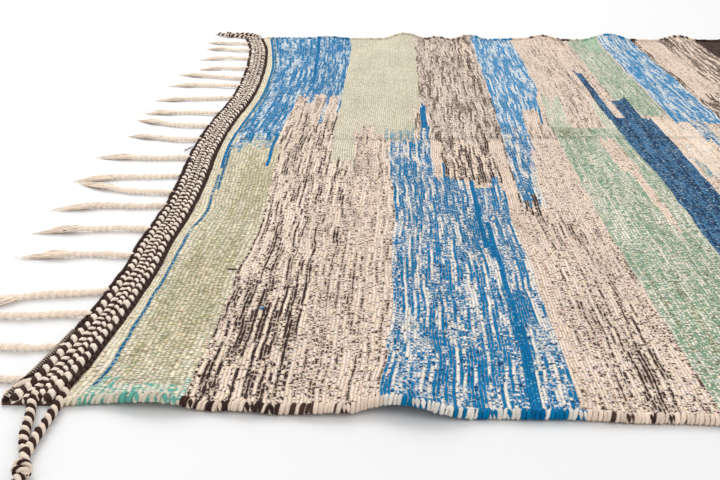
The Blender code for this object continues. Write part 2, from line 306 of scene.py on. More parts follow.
# %% The blocks of colour
BLOCKS = [
    # stripe, along from, along to, across from, across to, near ragged, far ragged (mm)
    ("sage", 0, 60, 0, 700, 0, 30),
    ("olive", 18, 54, 80, 330, 50, 60),
    ("olive", 30, 60, 420, 640, 60, 60),
    ("teal", 3, 60, 0, 30, 0, 12),
    ("sky", 10, 60, 695, 765, 24, 24),
    ("brown", 60, 208, 0, 748, 0, 16),
    ("light_brown", 135, 208, 0, 430, 0, 90),
    ("light_brown", 154, 208, 400, 748, 60, 16),
    ("brown", 55, 127, 700, 985, 20, 0),
    ("dark_brown", 65, 135, 0, 215, 0, 60),
    ("light_brown", 55, 127, 870, 985, 40, 0),
    ("far_blue", 10, 55, 735, 1500, 22, 0),
    ("blue", 10, 20, 685, 740, 12, 0),
    ("solid_blue", 52, 55, 595, 745, 12, 4),
    ("far_blue", 55, 127, 985, 1500, 22, 0),
    ("blue", 70, 82, 930, 1000, 20, 0),
    ("blue", 98, 104, 815, 1000, 12, 0),
    ("blue", 120, 127, 885, 1000, 16, 0),
    ("solid_blue", 63, 68, 1080, 1500, 30, 0),
    ("soft_sage", 127, 254, 748, 1500, 14, 0),
    ("soft_sage", 130, 158, 610, 760, 24, 0),
    ("light_brown", 157, 186, 740, 800, 0, 20),
    ("sky", 202, 246, 724, 780, 14, 22),
    ("mid_brown", 255, 374, 540, 1500, 8, 0),
    ("dark_brown", 282, 357, 540, 720, 8, 50),
    ("dark_brown", 346, 364, 1080, 1500, 90, 0),
    ("blue", 208, 267, 0, 720, 0, 14),
    ("blue", 250, 266, 715, 800, 0, 12),
    ("solid_blue", 256, 264, 790, 925, 0, 24),
    ("brown", 247, 255, 740, 900, 6, 10),
    ("cream", 267, 283, 540, 722, 8, 10),
    ("blue", 209, 356, 0, 520, 0, 14),
    ("blue", 267, 305, 500, 552, 0, 10),
    ("blue", 342, 351, 500, 562, 0, 6),
    ("solid_blue", 279, 283, 540, 625, 0, 6),
    ("solid_blue", 321, 330, 0, 150, 0, 12),
    ("solid_blue", 321, 327, 0, 390, 0, 0),
    ("solid_blue", 318, 321, 306, 344, 6, 6),
    ("solid_blue", 311, 317, 330, 545, 4, 6),
    ("light_brown", 356, 463, 0, 430, 0, 30),
    ("brown", 400, 440, 0, 210, 0, 40),
    ("flecked_cream", 404, 463, 415, 905, 26, 0),
    ("cream", 356, 373, 0, 745, 0, 8),
    ("dark_brown", 372, 396, 432, 492, 8, 10),
    ("blue", 374, 404, 466, 1500, 24, 0),
    ("blue", 404, 410, 580, 1500, 22, 0),
    ("blue", 410, 419, 690, 1500, 26, 0),
    ("light_blue", 374, 419, 760, 1500, 60, 0),
    ("light_brown", 419, 458, 740, 905, 8, 0),
    ("cream", 426, 442, 815, 905, 10, 0),
    ("solid_blue", 446, 449, 820, 960, 8, 8),
    ("light_blue", 419, 450, 905, 1500, 14, 0),
    ("light_blue", 450, 459, 1000, 1500, 20, 0),
    ("green", 463, 553, 0, 800, 0, 0),
    ("deep_green", 472, 475, 80, 260, 20, 20),
    ("deep_green", 490, 496, 95, 230, 24, 20),
    ("cream", 525, 535, 380, 610, 24, 10),
    ("cream", 516, 536, 600, 740, 14, 16),
    ("deep_green", 459, 484, 756, 798, 18, 8),
    ("deep_green", 484, 502, 764, 800, 18, 10),
    ("deep_green", 502, 516, 772, 796, 14, 12),
    ("pale_green", 459, 488, 800, 1500, 0, 0),
    ("flecked_cream", 459, 488, 1000, 1500, 40, 0),
    ("light_brown", 488, 540, 800, 1500, 0, 0),
    ("pale_green", 538, 552, 800, 960, 0, 60),
    ("flecked_cream", 609, 722, 0, 905, 0, 10),
    ("peach", 609, 660, 560, 850, 30, 12),
    ("sky", 615, 625, 560, 640, 10, 10),
    ("navy", 552, 609, 0, 858, 0, 18),
    ("light_brown", 552, 612, 858, 1500, 0, 0),
    ("green", 580, 640, 880, 1500, 14, 0),
    ("strong_green", 610, 640, 1380, 1500, 30, 0),
    ("navy", 549, 560, 850, 1180, 0, 20),
    ("navy", 574, 598, 850, 975, 0, 16),
    ("light_blue", 642, 722, 832, 1500, 12, 0),
    ("blue", 660, 670, 745, 840, 8, 0),
    ("blue", 670, 682, 705, 840, 8, 0),
    ("dark_brown", 714, 850, 850, 1500, 0, 0),
    ("cream", 722, 736, 965, 1500, 8, 0),
    ("cream", 736, 770, 1020, 1500, 14, 0),
    ("dark_brown", 770, 850, 0, 1500, 0, 0),
    ("cream", 722, 770, 0, 850, 0, 0),
    ("umber", 850, 930, 0, 1500, 0, 0),
    ("soft_sage", 930, 1040, 0, 1500, 0, 0),
    ("blue", 1040, 1150, 0, 640, 0, 40),
    ("light_brown", 1040, 1150, 640, 1500, 40, 0),
    ("cream", 1150, 1240, 0, 1500, 0, 0),
    ("brown", 1240, 1350, 0, 1500, 0, 0),
    ("green", 1350, 1440, 0, 1500, 0, 0),
    ("navy", 1440, 1490, 0, 860, 0, 50),
    ("green", 1440, 1490, 860, 1500, 50, 0),
    ("flecked_cream", 1490, 1570, 0, 1500, 0, 0),
    ("brown", 1570, 1680, 0, 1500, 0, 0),
    ("blue", 1680, 1790, 560, 1500, 40, 0),
    ("brown", 1680, 1790, 0, 560, 0, 40),
    ("soft_sage", 1790, 1880, 0, 1500, 0, 0),
    ("umber", 1880, 1930, 0, 1500, 0, 0),
    ("cream", 1930, 2010, 0, 1500, 0, 0),
    ("green", 2010, 2090, 0, 1500, 0, 0),
    ("light_brown", 2090, 2200, 0, 700, 0, 30),
    ("blue", 2090, 2200, 700, 1500, 30, 0),
    ("sage", 2200, 2314, 0, 1500, 0, 0),
    ("pale", 0, 9, 0, 1500, 0, 0),
    ("fine_blue", 9, 12, 30, 560, 0, 0),
    ("solid_blue", 9, 12, 560, 1500, 60, 0),
    ("fine_blue", 12, 15, 520, 1500, 40, 0),
    ("pale", 2314, 2324, 0, 1500, 0, 0),
]

# %% [markdown]
# ## The grid of the cloth
# The cloth's mesh has one column of faces for every row of weft, so a colour can change where a real
# one can. Across the rug the faces are longer, since a streak is longer than a row is wide. They are
# short only in the middle, where the blocks of colour meet with ragged edges.

# %% Rows of weft and faces
PICK = 0.0030           # one row of weft
picks = round(2 * FIELD_HALF / PICK)
PICK = 2 * FIELD_HALF / picks
stations = PICK * np.arange(picks + 1)
ROW_ZONES = [
    # across from, across to (mm), faces
    (-740, -600, 9), (-600, -250, 14), (-250, 250, 50), (250, 600, 14), (600, 740, 9),
]
CORE_IN = 0.010         # where the flat top meets the selvage
zones = [np.linspace(start, stop, count, endpoint=False) for start, stop, count in ROW_ZONES]
row_edges = np.append(np.concatenate(zones) * MM, EDGE - CORE_IN)
ACROSS_COUNT = len(row_edges) - 1
UNDER_EVERY = 12        # the underside has one face for this many on top
FAR_SIDE = 1500         # where the blocks end at the far selvage (mm)
RAGGED_SLOW = 0.5       # how much of a ragged edge strays slowly, and how much row by row
RAGGED_QUICK = 0.8
RAGGED_LENGTH = 60
print(picks, "rows of weft,", ACROSS_COUNT, "faces across")


def weave_blocks():
    """Which stripe each face of the top belongs to, as numbers in a grid of columns and rows."""
    chosen = np.random.default_rng(11)
    along = (stations[:-1] + stations[1:]) / 2 / MM
    across = ((row_edges[:-1] + row_edges[1:]) / 2 + EDGE) / MM
    grid = np.full((len(along), len(across)), STRIPE_NAMES.index("cream"))
    for stripe, start, stop, near, far, near_ragged, far_ragged in BLOCKS:
        slow = RAGGED_SLOW * unevenness(along, RAGGED_LENGTH, seed=int(start))
        quick = RAGGED_QUICK * chosen.uniform(-1, 1, (2, len(along)))
        low = near + near_ragged * (slow + quick[0])
        high = far + far_ragged * (slow + quick[1])
        high = np.where(far >= FAR_SIDE, 2 * far, high)
        low = np.where(near <= 0, -far, low)
        rows = ((along >= start) & (along < stop))[:, None]
        inside = rows & (across >= low[:, None]) & (across < high[:, None])
        grid[inside] = STRIPE_NAMES.index(stripe)
    return grid


stripe_grid = weave_blocks()
face_counts = np.bincount(stripe_grid.ravel(), minlength=len(STRIPES))
print("stripe faces:", dict(zip(STRIPE_NAMES, face_counts.tolist())))

# %% [markdown]
# ## The cloth as a mesh
# A sheet could be a plane with a Solidify modifier, but the selvage here is thicker than the cloth
# and rounded, so a cross-section is drawn once and repeated along the rug. It goes along the
# underside, round the far selvage, back over the top and round the near selvage. Each station of it
# goes through `on_rug`, and neighbouring stations are joined by faces.

# %% Cross-section and mesh
CORE_SECTION = [
    # in from the edge, height (mm)
    (3.5, 0.0), (2.2, 1.0), (1.7, 2.6), (1.9, 4.4), (3.2, 5.6), (5.2, 5.9), (7.4, 5.2),
]
UNEVEN_HIGH = 0.0002    # the cloth isn't equally thick all over
UNEVEN_LENGTH = 0.03


def cross_section():
    """Across and height of each point round the cloth, with the row of faces that it starts."""
    far = [(EDGE - inward * MM, up * MM) for inward, up in CORE_SECTION]
    near = [(-across, up) for across, up in far]
    under = [(across, 0.0) for across in row_edges[::UNDER_EVERY]]
    top = [(across, CLOTH_THICK + CREASE_RISE * bell(across / CREASE_HALF)) for across in row_edges]
    ring = np.array(under + far + top[::-1] + near[::-1])
    return ring, len(under), len(far)


ring, under_count, side_count = cross_section()
uneven_high = UNEVEN_HIGH * unevenness(ring[:, 0], UNEVEN_LENGTH, seed=2)
heights = ring[:, 1] + np.where(ring[:, 1] > 0, uneven_high, 0)
grid_points = on_rug((stations - FIELD_HALF)[:, None], ring[None, :, 0], heights[None])
print("cross-section of", len(ring), "points at", len(stations), "stations")


def field_faces():
    """Faces between stations, then the two end walls."""
    count, size = grid_points.shape[:2]
    here = np.arange(count - 1)[:, None] * size + np.arange(size)
    after = np.arange(count - 1)[:, None] * size + np.roll(np.arange(size), -1)
    quads = np.stack([here, here + size, after + size, after], -1).reshape(-1, 4)[:, ::-1].tolist()
    top_start = under_count + side_count
    walls = []
    for station in (0, count - 1):
        base = station * size
        for i in range(under_count - 1):
            top_far = top_start + ACROSS_COUNT - (i + 1) * UNDER_EVERY
            top = list(range(top_far, top_far + UNDER_EVERY + 1))
            walls.append([base + place for place in [i, i + 1, *top]])
        walls.append([base + place for place in range(under_count - 1, top_start + 1)])
        walls.append([base + place for place in [*range(top_start + ACROSS_COUNT, size), 0]])
    half = len(walls) // 2
    return quads, [wall[::-1] for wall in walls[:half]] + walls[half:]


quads, walls = field_faces()
cloth_mesh = bpy.data.meshes.new("woven_field")
cloth_mesh.from_pydata(grid_points.reshape(-1, 3).tolist(), [], quads + walls)
cloth_mesh.update()
woven_field = bpy.data.objects.new("woven_field", cloth_mesh)
bpy.context.scene.collection.objects.link(woven_field)
cloth_mesh.shade_smooth()
print("cloth of", len(cloth_mesh.polygons), "faces")

# %% [markdown]
# ## Telling the cloth its colours
# Blender can store a value on every face. Three colours go on each face of the cloth: the ground, the
# streaks and the flecks. A share rides along with each as its fourth number: how far the streaks run
# in lines, how much of them there is, and how much of the flecks. A map of the straight cloth, in
# metres, tells the material where each row of weft runs.

# %% Colours and weave map on the faces
def face_rows():
    """The row of the stripe grid that each face round the cross-section belongs to."""
    middle = (ring[:, 0] + np.roll(ring[:, 0], -1)) / 2
    return np.clip(np.searchsorted(row_edges, middle, side="right") - 1, 0, ACROSS_COUNT - 1)


def store_colours(mesh):
    """Puts the ground, streak and fleck colours on the faces."""
    rows = face_rows()
    stripe = stripe_grid[:, rows].reshape(-1)
    ends = np.concatenate([np.full(len(walls) // 2, stripe[0]), np.full(len(walls) // 2, stripe[-1])])
    stripe = np.concatenate([stripe, ends])
    for name, colour_at, number_at in (("ground", 0, 5), ("streak", 1, 2), ("fleck", 3, 4)):
        table = np.array([[*STRIPES[key][colour_at], STRIPES[key][number_at]] for key in STRIPES])
        stored = mesh.attributes.new(name, "FLOAT_COLOR", "FACE")
        stored.data.foreach_set("color", table[stripe].astype(np.float32).ravel())
    widths = np.array([STRIPES[key][6] for key in STRIPES])
    stored = mesh.attributes.new("line_width", "FLOAT", "FACE")
    stored.data.foreach_set("value", widths[stripe].astype(np.float32))


def store_weave_map(mesh):
    """A UV map of the straight cloth in metres: along the rug, then across it."""
    flat = np.stack(np.broadcast_arrays(stations[:, None], ring[None, :, 0] + EDGE), -1)
    flat = flat.reshape(-1, 2)
    corners = np.zeros(len(mesh.loops), np.int32)
    mesh.loops.foreach_get("vertex_index", corners)
    weave_map = mesh.uv_layers.new(name="weave")
    weave_map.data.foreach_set("uv", flat[corners].astype(np.float32).ravel())


store_colours(cloth_mesh)
store_weave_map(cloth_mesh)
print("stored", [stored.name for stored in cloth_mesh.attributes if stored.domain == "FACE"])

# %% [markdown]
# ## Building materials in code
# A material is a net of nodes. Writing every link by hand is hard to read, so a small recipe class
# adds one node at a time: numbers are typed into its sockets and outputs of other nodes are linked.

# %% A recipe for nodes
class Recipe:
    """Adds nodes to a new material. A feed is a number, a colour or another node's output."""

    def __init__(self, name):
        self.material = bpy.data.materials.new(name)
        self.material.use_nodes = True
        self.tree = self.material.node_tree
        self.shader = self.tree.nodes["Principled BSDF"]

    def feed(self, socket, value):
        """Types a value into a socket, or links another node's output to it."""
        if isinstance(value, bpy.types.NodeSocket):
            self.tree.links.new(value, socket)
        else:
            socket.default_value = value

    def add(self, kind, feeds, **settings):
        """One node with its settings and what feeds it."""
        made = self.tree.nodes.new(kind)
        for name, value in settings.items():
            setattr(made, name, value)
        for name, value in feeds.items():
            self.feed(made.inputs[name], value)
        return made

    def math(self, operation, *values):
        """One step of arithmetic."""
        made = self.tree.nodes.new("ShaderNodeMath")
        made.operation = operation
        for i, value in enumerate(values):
            self.feed(made.inputs[i], value)
        return made.outputs[0]

    def stored(self, name):
        """A value stored on the mesh."""
        return self.add("ShaderNodeAttribute", {}, attribute_name=name)

    def vector(self, x, y, z=0.0):
        """Three numbers as one vector."""
        return self.add("ShaderNodeCombineXYZ", {"X": x, "Y": y, "Z": z}).outputs[0]

    def noise(self, vector, scale, detail=1.0, dimensions="3D"):
        """Smooth random values from 0 to 1."""
        feeds = {"Vector": vector, "Scale": scale, "Detail": detail}
        return self.add("ShaderNodeTexNoise", feeds, noise_dimensions=dimensions).outputs[0]

    def mix(self, share, one, two, blend="MIX"):
        """Two colours mixed, with this share of the second."""
        made = self.tree.nodes.new("ShaderNodeMix")
        made.data_type = "RGBA"
        made.blend_type = blend
        for place, value in ((0, share), (6, one), (7, two)):
            self.feed(made.inputs[place], value)
        return made.outputs[2]

    def between(self, value, low, high):
        """Stretches 0 to 1 over low to high."""
        return self.math("MULTIPLY_ADD", value, high - low, low)

    def parts(self, vector):
        """The three numbers of a vector or colour."""
        return self.add("ShaderNodeSeparateXYZ", {0: vector}).outputs

    def held(self, value):
        """Keeps a value between 0 and 1."""
        return self.math("MINIMUM", self.math("MAXIMUM", value, 0.0), 1.0)

    def under(self, value, limit, softness):
        """1 where a value is under a limit, with a soft edge, since wool is fuzzy."""
        below = self.math("SUBTRACT", limit, value)
        return self.held(self.math("MULTIPLY_ADD", below, 1 / softness, 0.5))

    def grey(self, value):
        """A grey to multiply a colour by."""
        return self.vector(value, value, value)


# %% [markdown]
# ## The weave
# The weft is hand-spun from mixed fleece. In a row of it one colour runs for some centimetres as a
# thin solid line, then breaks up into dots, then gives way to the other. Modelling every yarn would
# take millions of faces. Instead the material counts rows from the weave map and mixes two noises
# that start afresh in each row: one is stretched far along it, and the other is as short as a dot.
# How much of each there is, the stripe says. The row's rounded height and the marks of its twist go to the
# bump, and the same height is painted into the colour as shade in the grooves and light on the tops. A
# painted shade line darkens the fold across the middle, and finer noise gives the felted surface and its
# tints.

# %% The woven wool
MARK = 0.0023           # along a row, one turn of the two plies
MARK_SLANT = 0.35       # how far a mark leans within its row
MARK_SHIFT = 0.37       # how far each row's marks stand from those of the row before
MARK_STRAY = 3.4        # how unevenly the plies turn, and how often in a metre that changes
MARK_OFTEN = 120.0
LONG_RUN = 0.11         # how long a yarn keeps its colour
SHORT_RUN = 0.035
RUN_MIX = 0.35
DOT_OFTEN = 300.0       # dots in a metre, about
DOT_FINEST = 1.75       # this many times as often where a stripe has no lines
DOT_THINNER = 1.1       # and this much less of that where it has only lines
DOT_ACROSS = 0.7        # how much the dots change within the width of a row
STRETCHED = (-0.75, 1.75)       # noise keeps near its middle, so it is stretched to this
EVEN_OUT = 0.16         # makes up for the narrower spread of two noises mixed
STREAK_SOFT = 0.22      # how fuzzy the edges of the streaks and of the flecks are
FLECK_SOFT = 0.14
WIDTH_STRAY = 0.34      # how much a line's width changes along it
WIDTH_OFTEN = 160.0
ROW_WOBBLE = 0.60       # in rows of weft
WOBBLE_OFTEN = (26.0, 34.0)     # across and along the rug, bends of the rows in a metre
ROW_KEY = 7.31          # sets the rows apart in the noise
WARM_TINTS = (0.72, 1.28)       # least and most red, and least and most blue, of a speck of wool
COOL_TINTS = (0.70, 1.30)
TINT_OFTEN = 300.0      # specks of tint in a metre
FELT_OFTEN = 620.0      # and of felted fibres
DRIFT_OFTEN = 9.0       # the slow change of shade from one part of the cloth to another
ROUND_ROW = 0.8         # the lower, the flatter the top of a row or a mark
ROUND_MARK = 0.7
MARK_LOW = 0.6          # how high the wool still is between two marks
PAINTED_GROOVE_SHADES = (0.66, 1.12)    # darkest and lightest: painted shade in the grooves and painted light on the tops by the height, random tones by the dots, the felt, the drift
DOT_SHADES = (0.72, 1.28)
FELT_SHADES = (0.62, 1.38)
DRIFT_SHADES = (0.82, 1.18)
FELT_RELIEF = 0.5       # how much the felt adds to the height
WEAVE_RELIEF = 0.0009
BUMP_STRENGTH = 0.8
FOLD_START = 0.029      # a painted shade line along the fold begins this far before the rug's middle
FOLD_STOP = 0.002       # and goes on straight this far past it
FOLD_SLANT = 0.050
FOLD_SHADE = 0.24        # how much darker that painted shade is
FOLD_EASE = 24.0        # the higher, the narrower the line


def woven_wool():
    """The weft-faced weave of the field."""
    recipe = Recipe("woven wool")
    place = recipe.parts(recipe.add("ShaderNodeUVMap", {}, uv_map="weave").outputs[0])
    along, across = place[0], place[1]

    def by_row(often, key, shift=0.0):
        """Noise that runs along the rows and starts afresh in each of them."""
        spot = recipe.vector(recipe.math("MULTIPLY_ADD", across, often, shift), key)
        return recipe.noise(spot, 1.0, dimensions="2D")

    # which row a place is in, and how far up in it
    bends_across = recipe.math("MULTIPLY", across, WOBBLE_OFTEN[0])
    bends_along = recipe.math("MULTIPLY", along, WOBBLE_OFTEN[1])
    wobble = recipe.noise(recipe.vector(bends_across, bends_along), 1.0, detail=2.0, dimensions="2D")
    straight = recipe.math("DIVIDE", along, PICK)
    row_at = recipe.math("ADD", straight, recipe.between(wobble, -ROW_WOBBLE, ROW_WOBBLE))
    row = recipe.math("FLOOR", row_at)
    in_row = recipe.math("FRACT", row_at)
    key = recipe.math("MULTIPLY", row, ROW_KEY)

    # where in a mark of the twist it is
    turn_at = recipe.math("MULTIPLY_ADD", in_row, MARK_SLANT, recipe.math("DIVIDE", across, MARK))
    turn_at = recipe.math("ADD", turn_at, recipe.math("MULTIPLY", row, MARK_SHIFT))
    turn_at = recipe.math("MULTIPLY_ADD", by_row(MARK_OFTEN, key), MARK_STRAY, turn_at)
    in_mark = recipe.math("FRACT", turn_at)

    # how much of a streak or a fleck there is
    ground, streak, fleck = (recipe.stored(name) for name in ("ground", "streak", "fleck"))
    in_lines = ground.outputs["Alpha"]
    run = recipe.mix(RUN_MIX, by_row(1 / LONG_RUN, key), by_row(1 / SHORT_RUN, key, shift=40.0))
    often = recipe.math("MULTIPLY_ADD", in_lines, -DOT_THINNER * DOT_OFTEN, DOT_FINEST * DOT_OFTEN)
    dot_along = recipe.math("MULTIPLY", across, often)
    spot = recipe.vector(dot_along, recipe.math("MULTIPLY_ADD", in_row, DOT_ACROSS, key))
    dots = recipe.add("ShaderNodeTexNoise", {"Vector": spot, "Scale": 1.0, "Detail": 0.5})
    dots = recipe.parts(dots.outputs["Color"])
    dot = recipe.between(dots[0], *STRETCHED)
    level = recipe.math("SUBTRACT", recipe.between(run, *STRETCHED), dot)
    level = recipe.math("MULTIPLY_ADD", level, in_lines, dot)
    level = recipe.between(level, -EVEN_OUT, 1 + EVEN_OUT)

    # the colours
    off_middle = recipe.math("ABSOLUTE", recipe.math("SUBTRACT", in_row, 0.5))
    width_stray = recipe.between(by_row(WIDTH_OFTEN, key, shift=9.0), -WIDTH_STRAY, WIDTH_STRAY)
    width = recipe.math("ADD", recipe.stored("line_width").outputs["Fac"], width_stray)
    thin = recipe.under(off_middle, width, STREAK_SOFT)
    is_streak = recipe.math("MULTIPLY", recipe.under(level, streak.outputs["Alpha"], STREAK_SOFT), thin)
    fleck_level = recipe.between(dots[1], *STRETCHED)
    is_fleck = recipe.under(fleck_level, fleck.outputs["Alpha"], FLECK_SOFT)
    colour = recipe.mix(is_streak, ground.outputs["Color"], streak.outputs["Color"])
    colour = recipe.mix(is_fleck, colour, fleck.outputs["Color"])
    spot = recipe.vector(along, across)
    mottle = recipe.add("ShaderNodeTexNoise", {"Vector": spot, "Scale": TINT_OFTEN, "Detail": 2.0})
    tints = recipe.parts(mottle.outputs["Color"])
    warm = recipe.between(tints[0], *WARM_TINTS)
    cool = recipe.between(tints[1], *COOL_TINTS)
    colour = recipe.mix(1.0, colour, recipe.vector(warm, 1.0, cool), blend="MULTIPLY")

    # the height, and the shade: painted shade of the grooves and the fold, with random tones
    arch_row = recipe.math("SINE", recipe.math("MULTIPLY", in_row, math.pi))
    arch_row = recipe.math("POWER", arch_row, ROUND_ROW)
    arch_mark = recipe.math("SINE", recipe.math("MULTIPLY", in_mark, math.pi))
    arch_mark = recipe.math("POWER", arch_mark, ROUND_MARK)
    height = recipe.math("MULTIPLY", arch_row, recipe.between(arch_mark, MARK_LOW, 1.0))
    felt = recipe.noise(recipe.vector(along, across), FELT_OFTEN, detail=2.0)
    spot = recipe.vector(recipe.math("MULTIPLY", along, 2.0), across)
    drift = recipe.noise(spot, DRIFT_OFTEN, detail=2.0)
    # painted shade: darker in the grooves between rows and marks, painted light on their tops
    shade = recipe.between(height, *PAINTED_GROOVE_SHADES)
    for value, shades in ((dots[2], DOT_SHADES), (felt, FELT_SHADES), (drift, DRIFT_SHADES)):
        shade = recipe.math("MULTIPLY", shade, recipe.between(value, *shades))
    # painted shade: a soft dark line along the fold
    fold_shade_line = recipe.math("MULTIPLY_ADD", along, FOLD_SLANT, EDGE - FOLD_START)
    fold_shade_line = recipe.math("MINIMUM", fold_shade_line, EDGE + FOLD_STOP)
    fold = recipe.math("ABSOLUTE", recipe.math("SUBTRACT", across, fold_shade_line))
    fold = recipe.math("MULTIPLY_ADD", fold, FOLD_EASE, 1 - FOLD_SHADE)
    shade = recipe.math("MULTIPLY", shade, recipe.math("MINIMUM", fold, 1.0))
    colour = recipe.mix(1.0, colour, recipe.grey(shade), blend="MULTIPLY")

    relief = recipe.math("MULTIPLY_ADD", felt, FELT_RELIEF, height)
    return finish_wool(recipe, colour, relief, WEAVE_RELIEF)


WOOL_FINISH = {
    "Roughness": 0.95,
    "Specular IOR Level": 0.03,
    "Sheen Weight": 0.02,
    "Sheen Roughness": 0.6,
}


def finish_wool(recipe, colour, relief, depth):
    """The colour and relief of a wool, on the soft, dull surface that all of it has."""
    feeds = {"Height": relief, "Distance": depth, "Strength": BUMP_STRENGTH}
    bump = recipe.add("ShaderNodeBump", feeds)
    recipe.feed(recipe.shader.inputs["Base Color"], colour)
    recipe.feed(recipe.shader.inputs["Normal"], bump.outputs[0])
    for socket, value in WOOL_FINISH.items():
        recipe.shader.inputs[socket].default_value = value
    return recipe.material


cloth_mesh.materials.append(woven_wool())
print("woven wool has", len(cloth_mesh.materials[0].node_tree.nodes), "nodes")

# %% [markdown]
# ## Real yarns
# The selvages, the twined bands, the fringe and the corner ropes are loose enough to be seen as
# single yarns, so they are modelled. A curve object with a bevel would do for one of them. For
# hundreds it is quicker to build the tubes as arrays and join them. `Skein` gathers tubes until they
# are made into one mesh. Each point also stores where it lies on its yarn, turned with the yarn's
# own twist, so that the material's fibres wind round it.

# %% A skein of yarns
YARN_SIDES = 6
YARN_TWIST = 0.009      # length of one turn of a single yarn's fibres
YARN_APART = 0.037      # how far apart two yarns' fibres start, so that no two are alike
UP = (0.0, 0.0, 1.0)


def directions(path, beside=UP):
    """Unit vectors ahead, to the right and over, all along a path."""
    ahead = np.gradient(path, axis=0)
    ahead /= np.linalg.norm(ahead, axis=1, keepdims=True)
    right = np.cross(ahead, beside)
    right /= np.linalg.norm(right, axis=1, keepdims=True)
    return ahead, right, np.cross(right, ahead)


class Skein:
    """Gathers yarns, each a closed tube, until they are made into one mesh."""

    def __init__(self):
        self.points = []
        self.faces = []
        self.colours = []
        self.others = []
        self.fibres = []
        self.used = 0

    def add(self, path, radius, colour, sides=YARN_SIDES, beside=UP, other=None):
        """Adds one yarn. Its radius may change along it, and half of it may have another colour."""
        path = np.asarray(path, float)
        count = len(path)
        radius = np.broadcast_to(radius, count)[:, None]
        _, right, over = directions(path, beside)
        angle = np.linspace(0, 2 * math.pi, sides, endpoint=False)
        sideways = right[:, None] * np.cos(angle)[None, :, None]
        upward = over[:, None] * np.sin(angle)[None, :, None]
        along = measured(path)[:, None]
        turned = angle - 2 * math.pi * along / YARN_TWIST
        shifted = along + YARN_APART * len(self.points) + 0 * turned
        fibre = np.stack([shifted, radius * np.cos(turned), radius * np.sin(turned)], -1)
        self.points.append((path[:, None] + (sideways + upward) * radius[:, None]).reshape(-1, 3))
        self.fibres.append(fibre.reshape(-1, 3))
        self.colours.append(np.broadcast_to(colour, (count * sides, 3)))
        other = colour if other is None else other
        self.others.append(np.broadcast_to(other, (count * sides, 3)))
        rings = self.used + np.arange(count - 1)[:, None] * sides
        here = rings + np.arange(sides)
        after = rings + (np.arange(sides) + 1) % sides
        self.faces += np.stack([here, here + sides, after + sides, after], -1).reshape(-1, 4).tolist()
        last = self.used + (count - 1) * sides
        self.faces.append(list(range(self.used, self.used + sides)))
        self.faces.append(list(range(last, last + sides))[::-1])
        self.used += count * sides

    def made(self, name, material):
        """The mesh object of all the yarns."""
        mesh = bpy.data.meshes.new(name)
        mesh.from_pydata(np.concatenate(self.points).tolist(), [], self.faces)
        mesh.update()
        for attribute, colours in (("yarn_colour", self.colours), ("other_colour", self.others)):
            colours = np.concatenate([np.concatenate(colours), np.ones((self.used, 1))], 1)
            stored = mesh.attributes.new(attribute, "FLOAT_COLOR", "POINT")
            stored.data.foreach_set("color", colours.astype(np.float32).ravel())
        stored = mesh.attributes.new("fibre", "FLOAT_VECTOR", "POINT")
        stored.data.foreach_set("vector", np.concatenate(self.fibres).astype(np.float32).ravel())
        mesh.shade_smooth()
        mesh.materials.append(material)
        made = bpy.data.objects.new(name, mesh)
        bpy.context.scene.collection.objects.link(made)
        mesh.calc_loop_triangles()
        print(name, "has", len(self.points), "yarns and", len(mesh.loop_triangles), "triangles")
        return made


PLY_OUT = {2: 0.21, 3: 0.245}   # how far out the middles of two or three yarns run in their rope
PLY_PRESS = 0.92                # the yarns press a little into each other
SWELL_TOP = 1.6                 # how a swelling yarn grows on top and shrinks below
SWELL_BELOW = 0.6


def ply(skein, path, thickness, colours, pitch, hand=1, flat=1.0, phase=0.0, sides=YARN_SIDES,
        swell=(0, 0, 0)):
    """Twists a yarn of each colour round a path. Flat presses them down, swell fattens a yarn on top."""
    path = np.asarray(path, float)
    _, right, over = directions(path)
    along = measured(path)
    thickness = np.broadcast_to(thickness, len(path))
    offset = thickness * PLY_OUT[len(colours)]
    for i, colour in enumerate(colours):
        angle = phase + hand * 2 * math.pi * along / pitch + 2 * math.pi * i / len(colours)
        out = right * (offset * np.cos(angle))[:, None]
        out = out + over * (flat * offset * np.sin(angle))[:, None]
        fatter = 1 + swell[i] * (SWELL_TOP * np.maximum(0, np.sin(angle)) ** 2 - SWELL_BELOW)
        skein.add(path + out, (thickness / 2 - offset * PLY_PRESS) * fatter, colour, sides)


# %% [markdown]
# ## Finish of the single yarns
# A hand-spun yarn is a twist of fibres. Noise that is stretched a lot along the yarn and read in its
# turning coordinates gives fine lines that wind round it. It shifts the colour a little and
# roughens the surface. Where a yarn is mixed from two colours, each winds along on its own half.

# %% The spun wool
FIBRE_STRETCH = 0.10    # how much slower the noise changes along a yarn than round it
FIBRE_OFTEN = 1500.0
FIBRE_SHADES = (0.66, 1.30)
LUMP_OFTEN = 130.0
LUMP_SHADES = (0.86, 1.14)
LUMP_RELIEF = 0.5
HALF_SHARP = 900.0      # how sharply the two halves of a mixed yarn meet
FIBRE_RELIEF = 0.0006


def spun_wool():
    """Single yarns of hand-spun wool in their own colours."""
    recipe = Recipe("spun wool")
    place = recipe.stored("fibre").outputs["Vector"]
    parts = recipe.parts(place)
    stretched = recipe.vector(recipe.math("MULTIPLY", parts[0], FIBRE_STRETCH), parts[1], parts[2])
    fibre = recipe.noise(stretched, FIBRE_OFTEN, detail=2.0)
    lumps = recipe.noise(place, LUMP_OFTEN, detail=2.0)
    fibre_shade = recipe.between(fibre, *FIBRE_SHADES)
    shade = recipe.math("MULTIPLY", fibre_shade, recipe.between(lumps, *LUMP_SHADES))
    half = recipe.held(recipe.math("MULTIPLY_ADD", parts[1], -HALF_SHARP, 0.5))
    one, two = (recipe.stored(name).outputs["Color"] for name in ("yarn_colour", "other_colour"))
    colour = recipe.mix(1.0, recipe.mix(half, one, two), recipe.grey(shade), blend="MULTIPLY")
    relief = recipe.math("MULTIPLY_ADD", lumps, LUMP_RELIEF, fibre)
    return finish_wool(recipe, colour, relief, FIBRE_RELIEF)


yarn_wool = spun_wool()

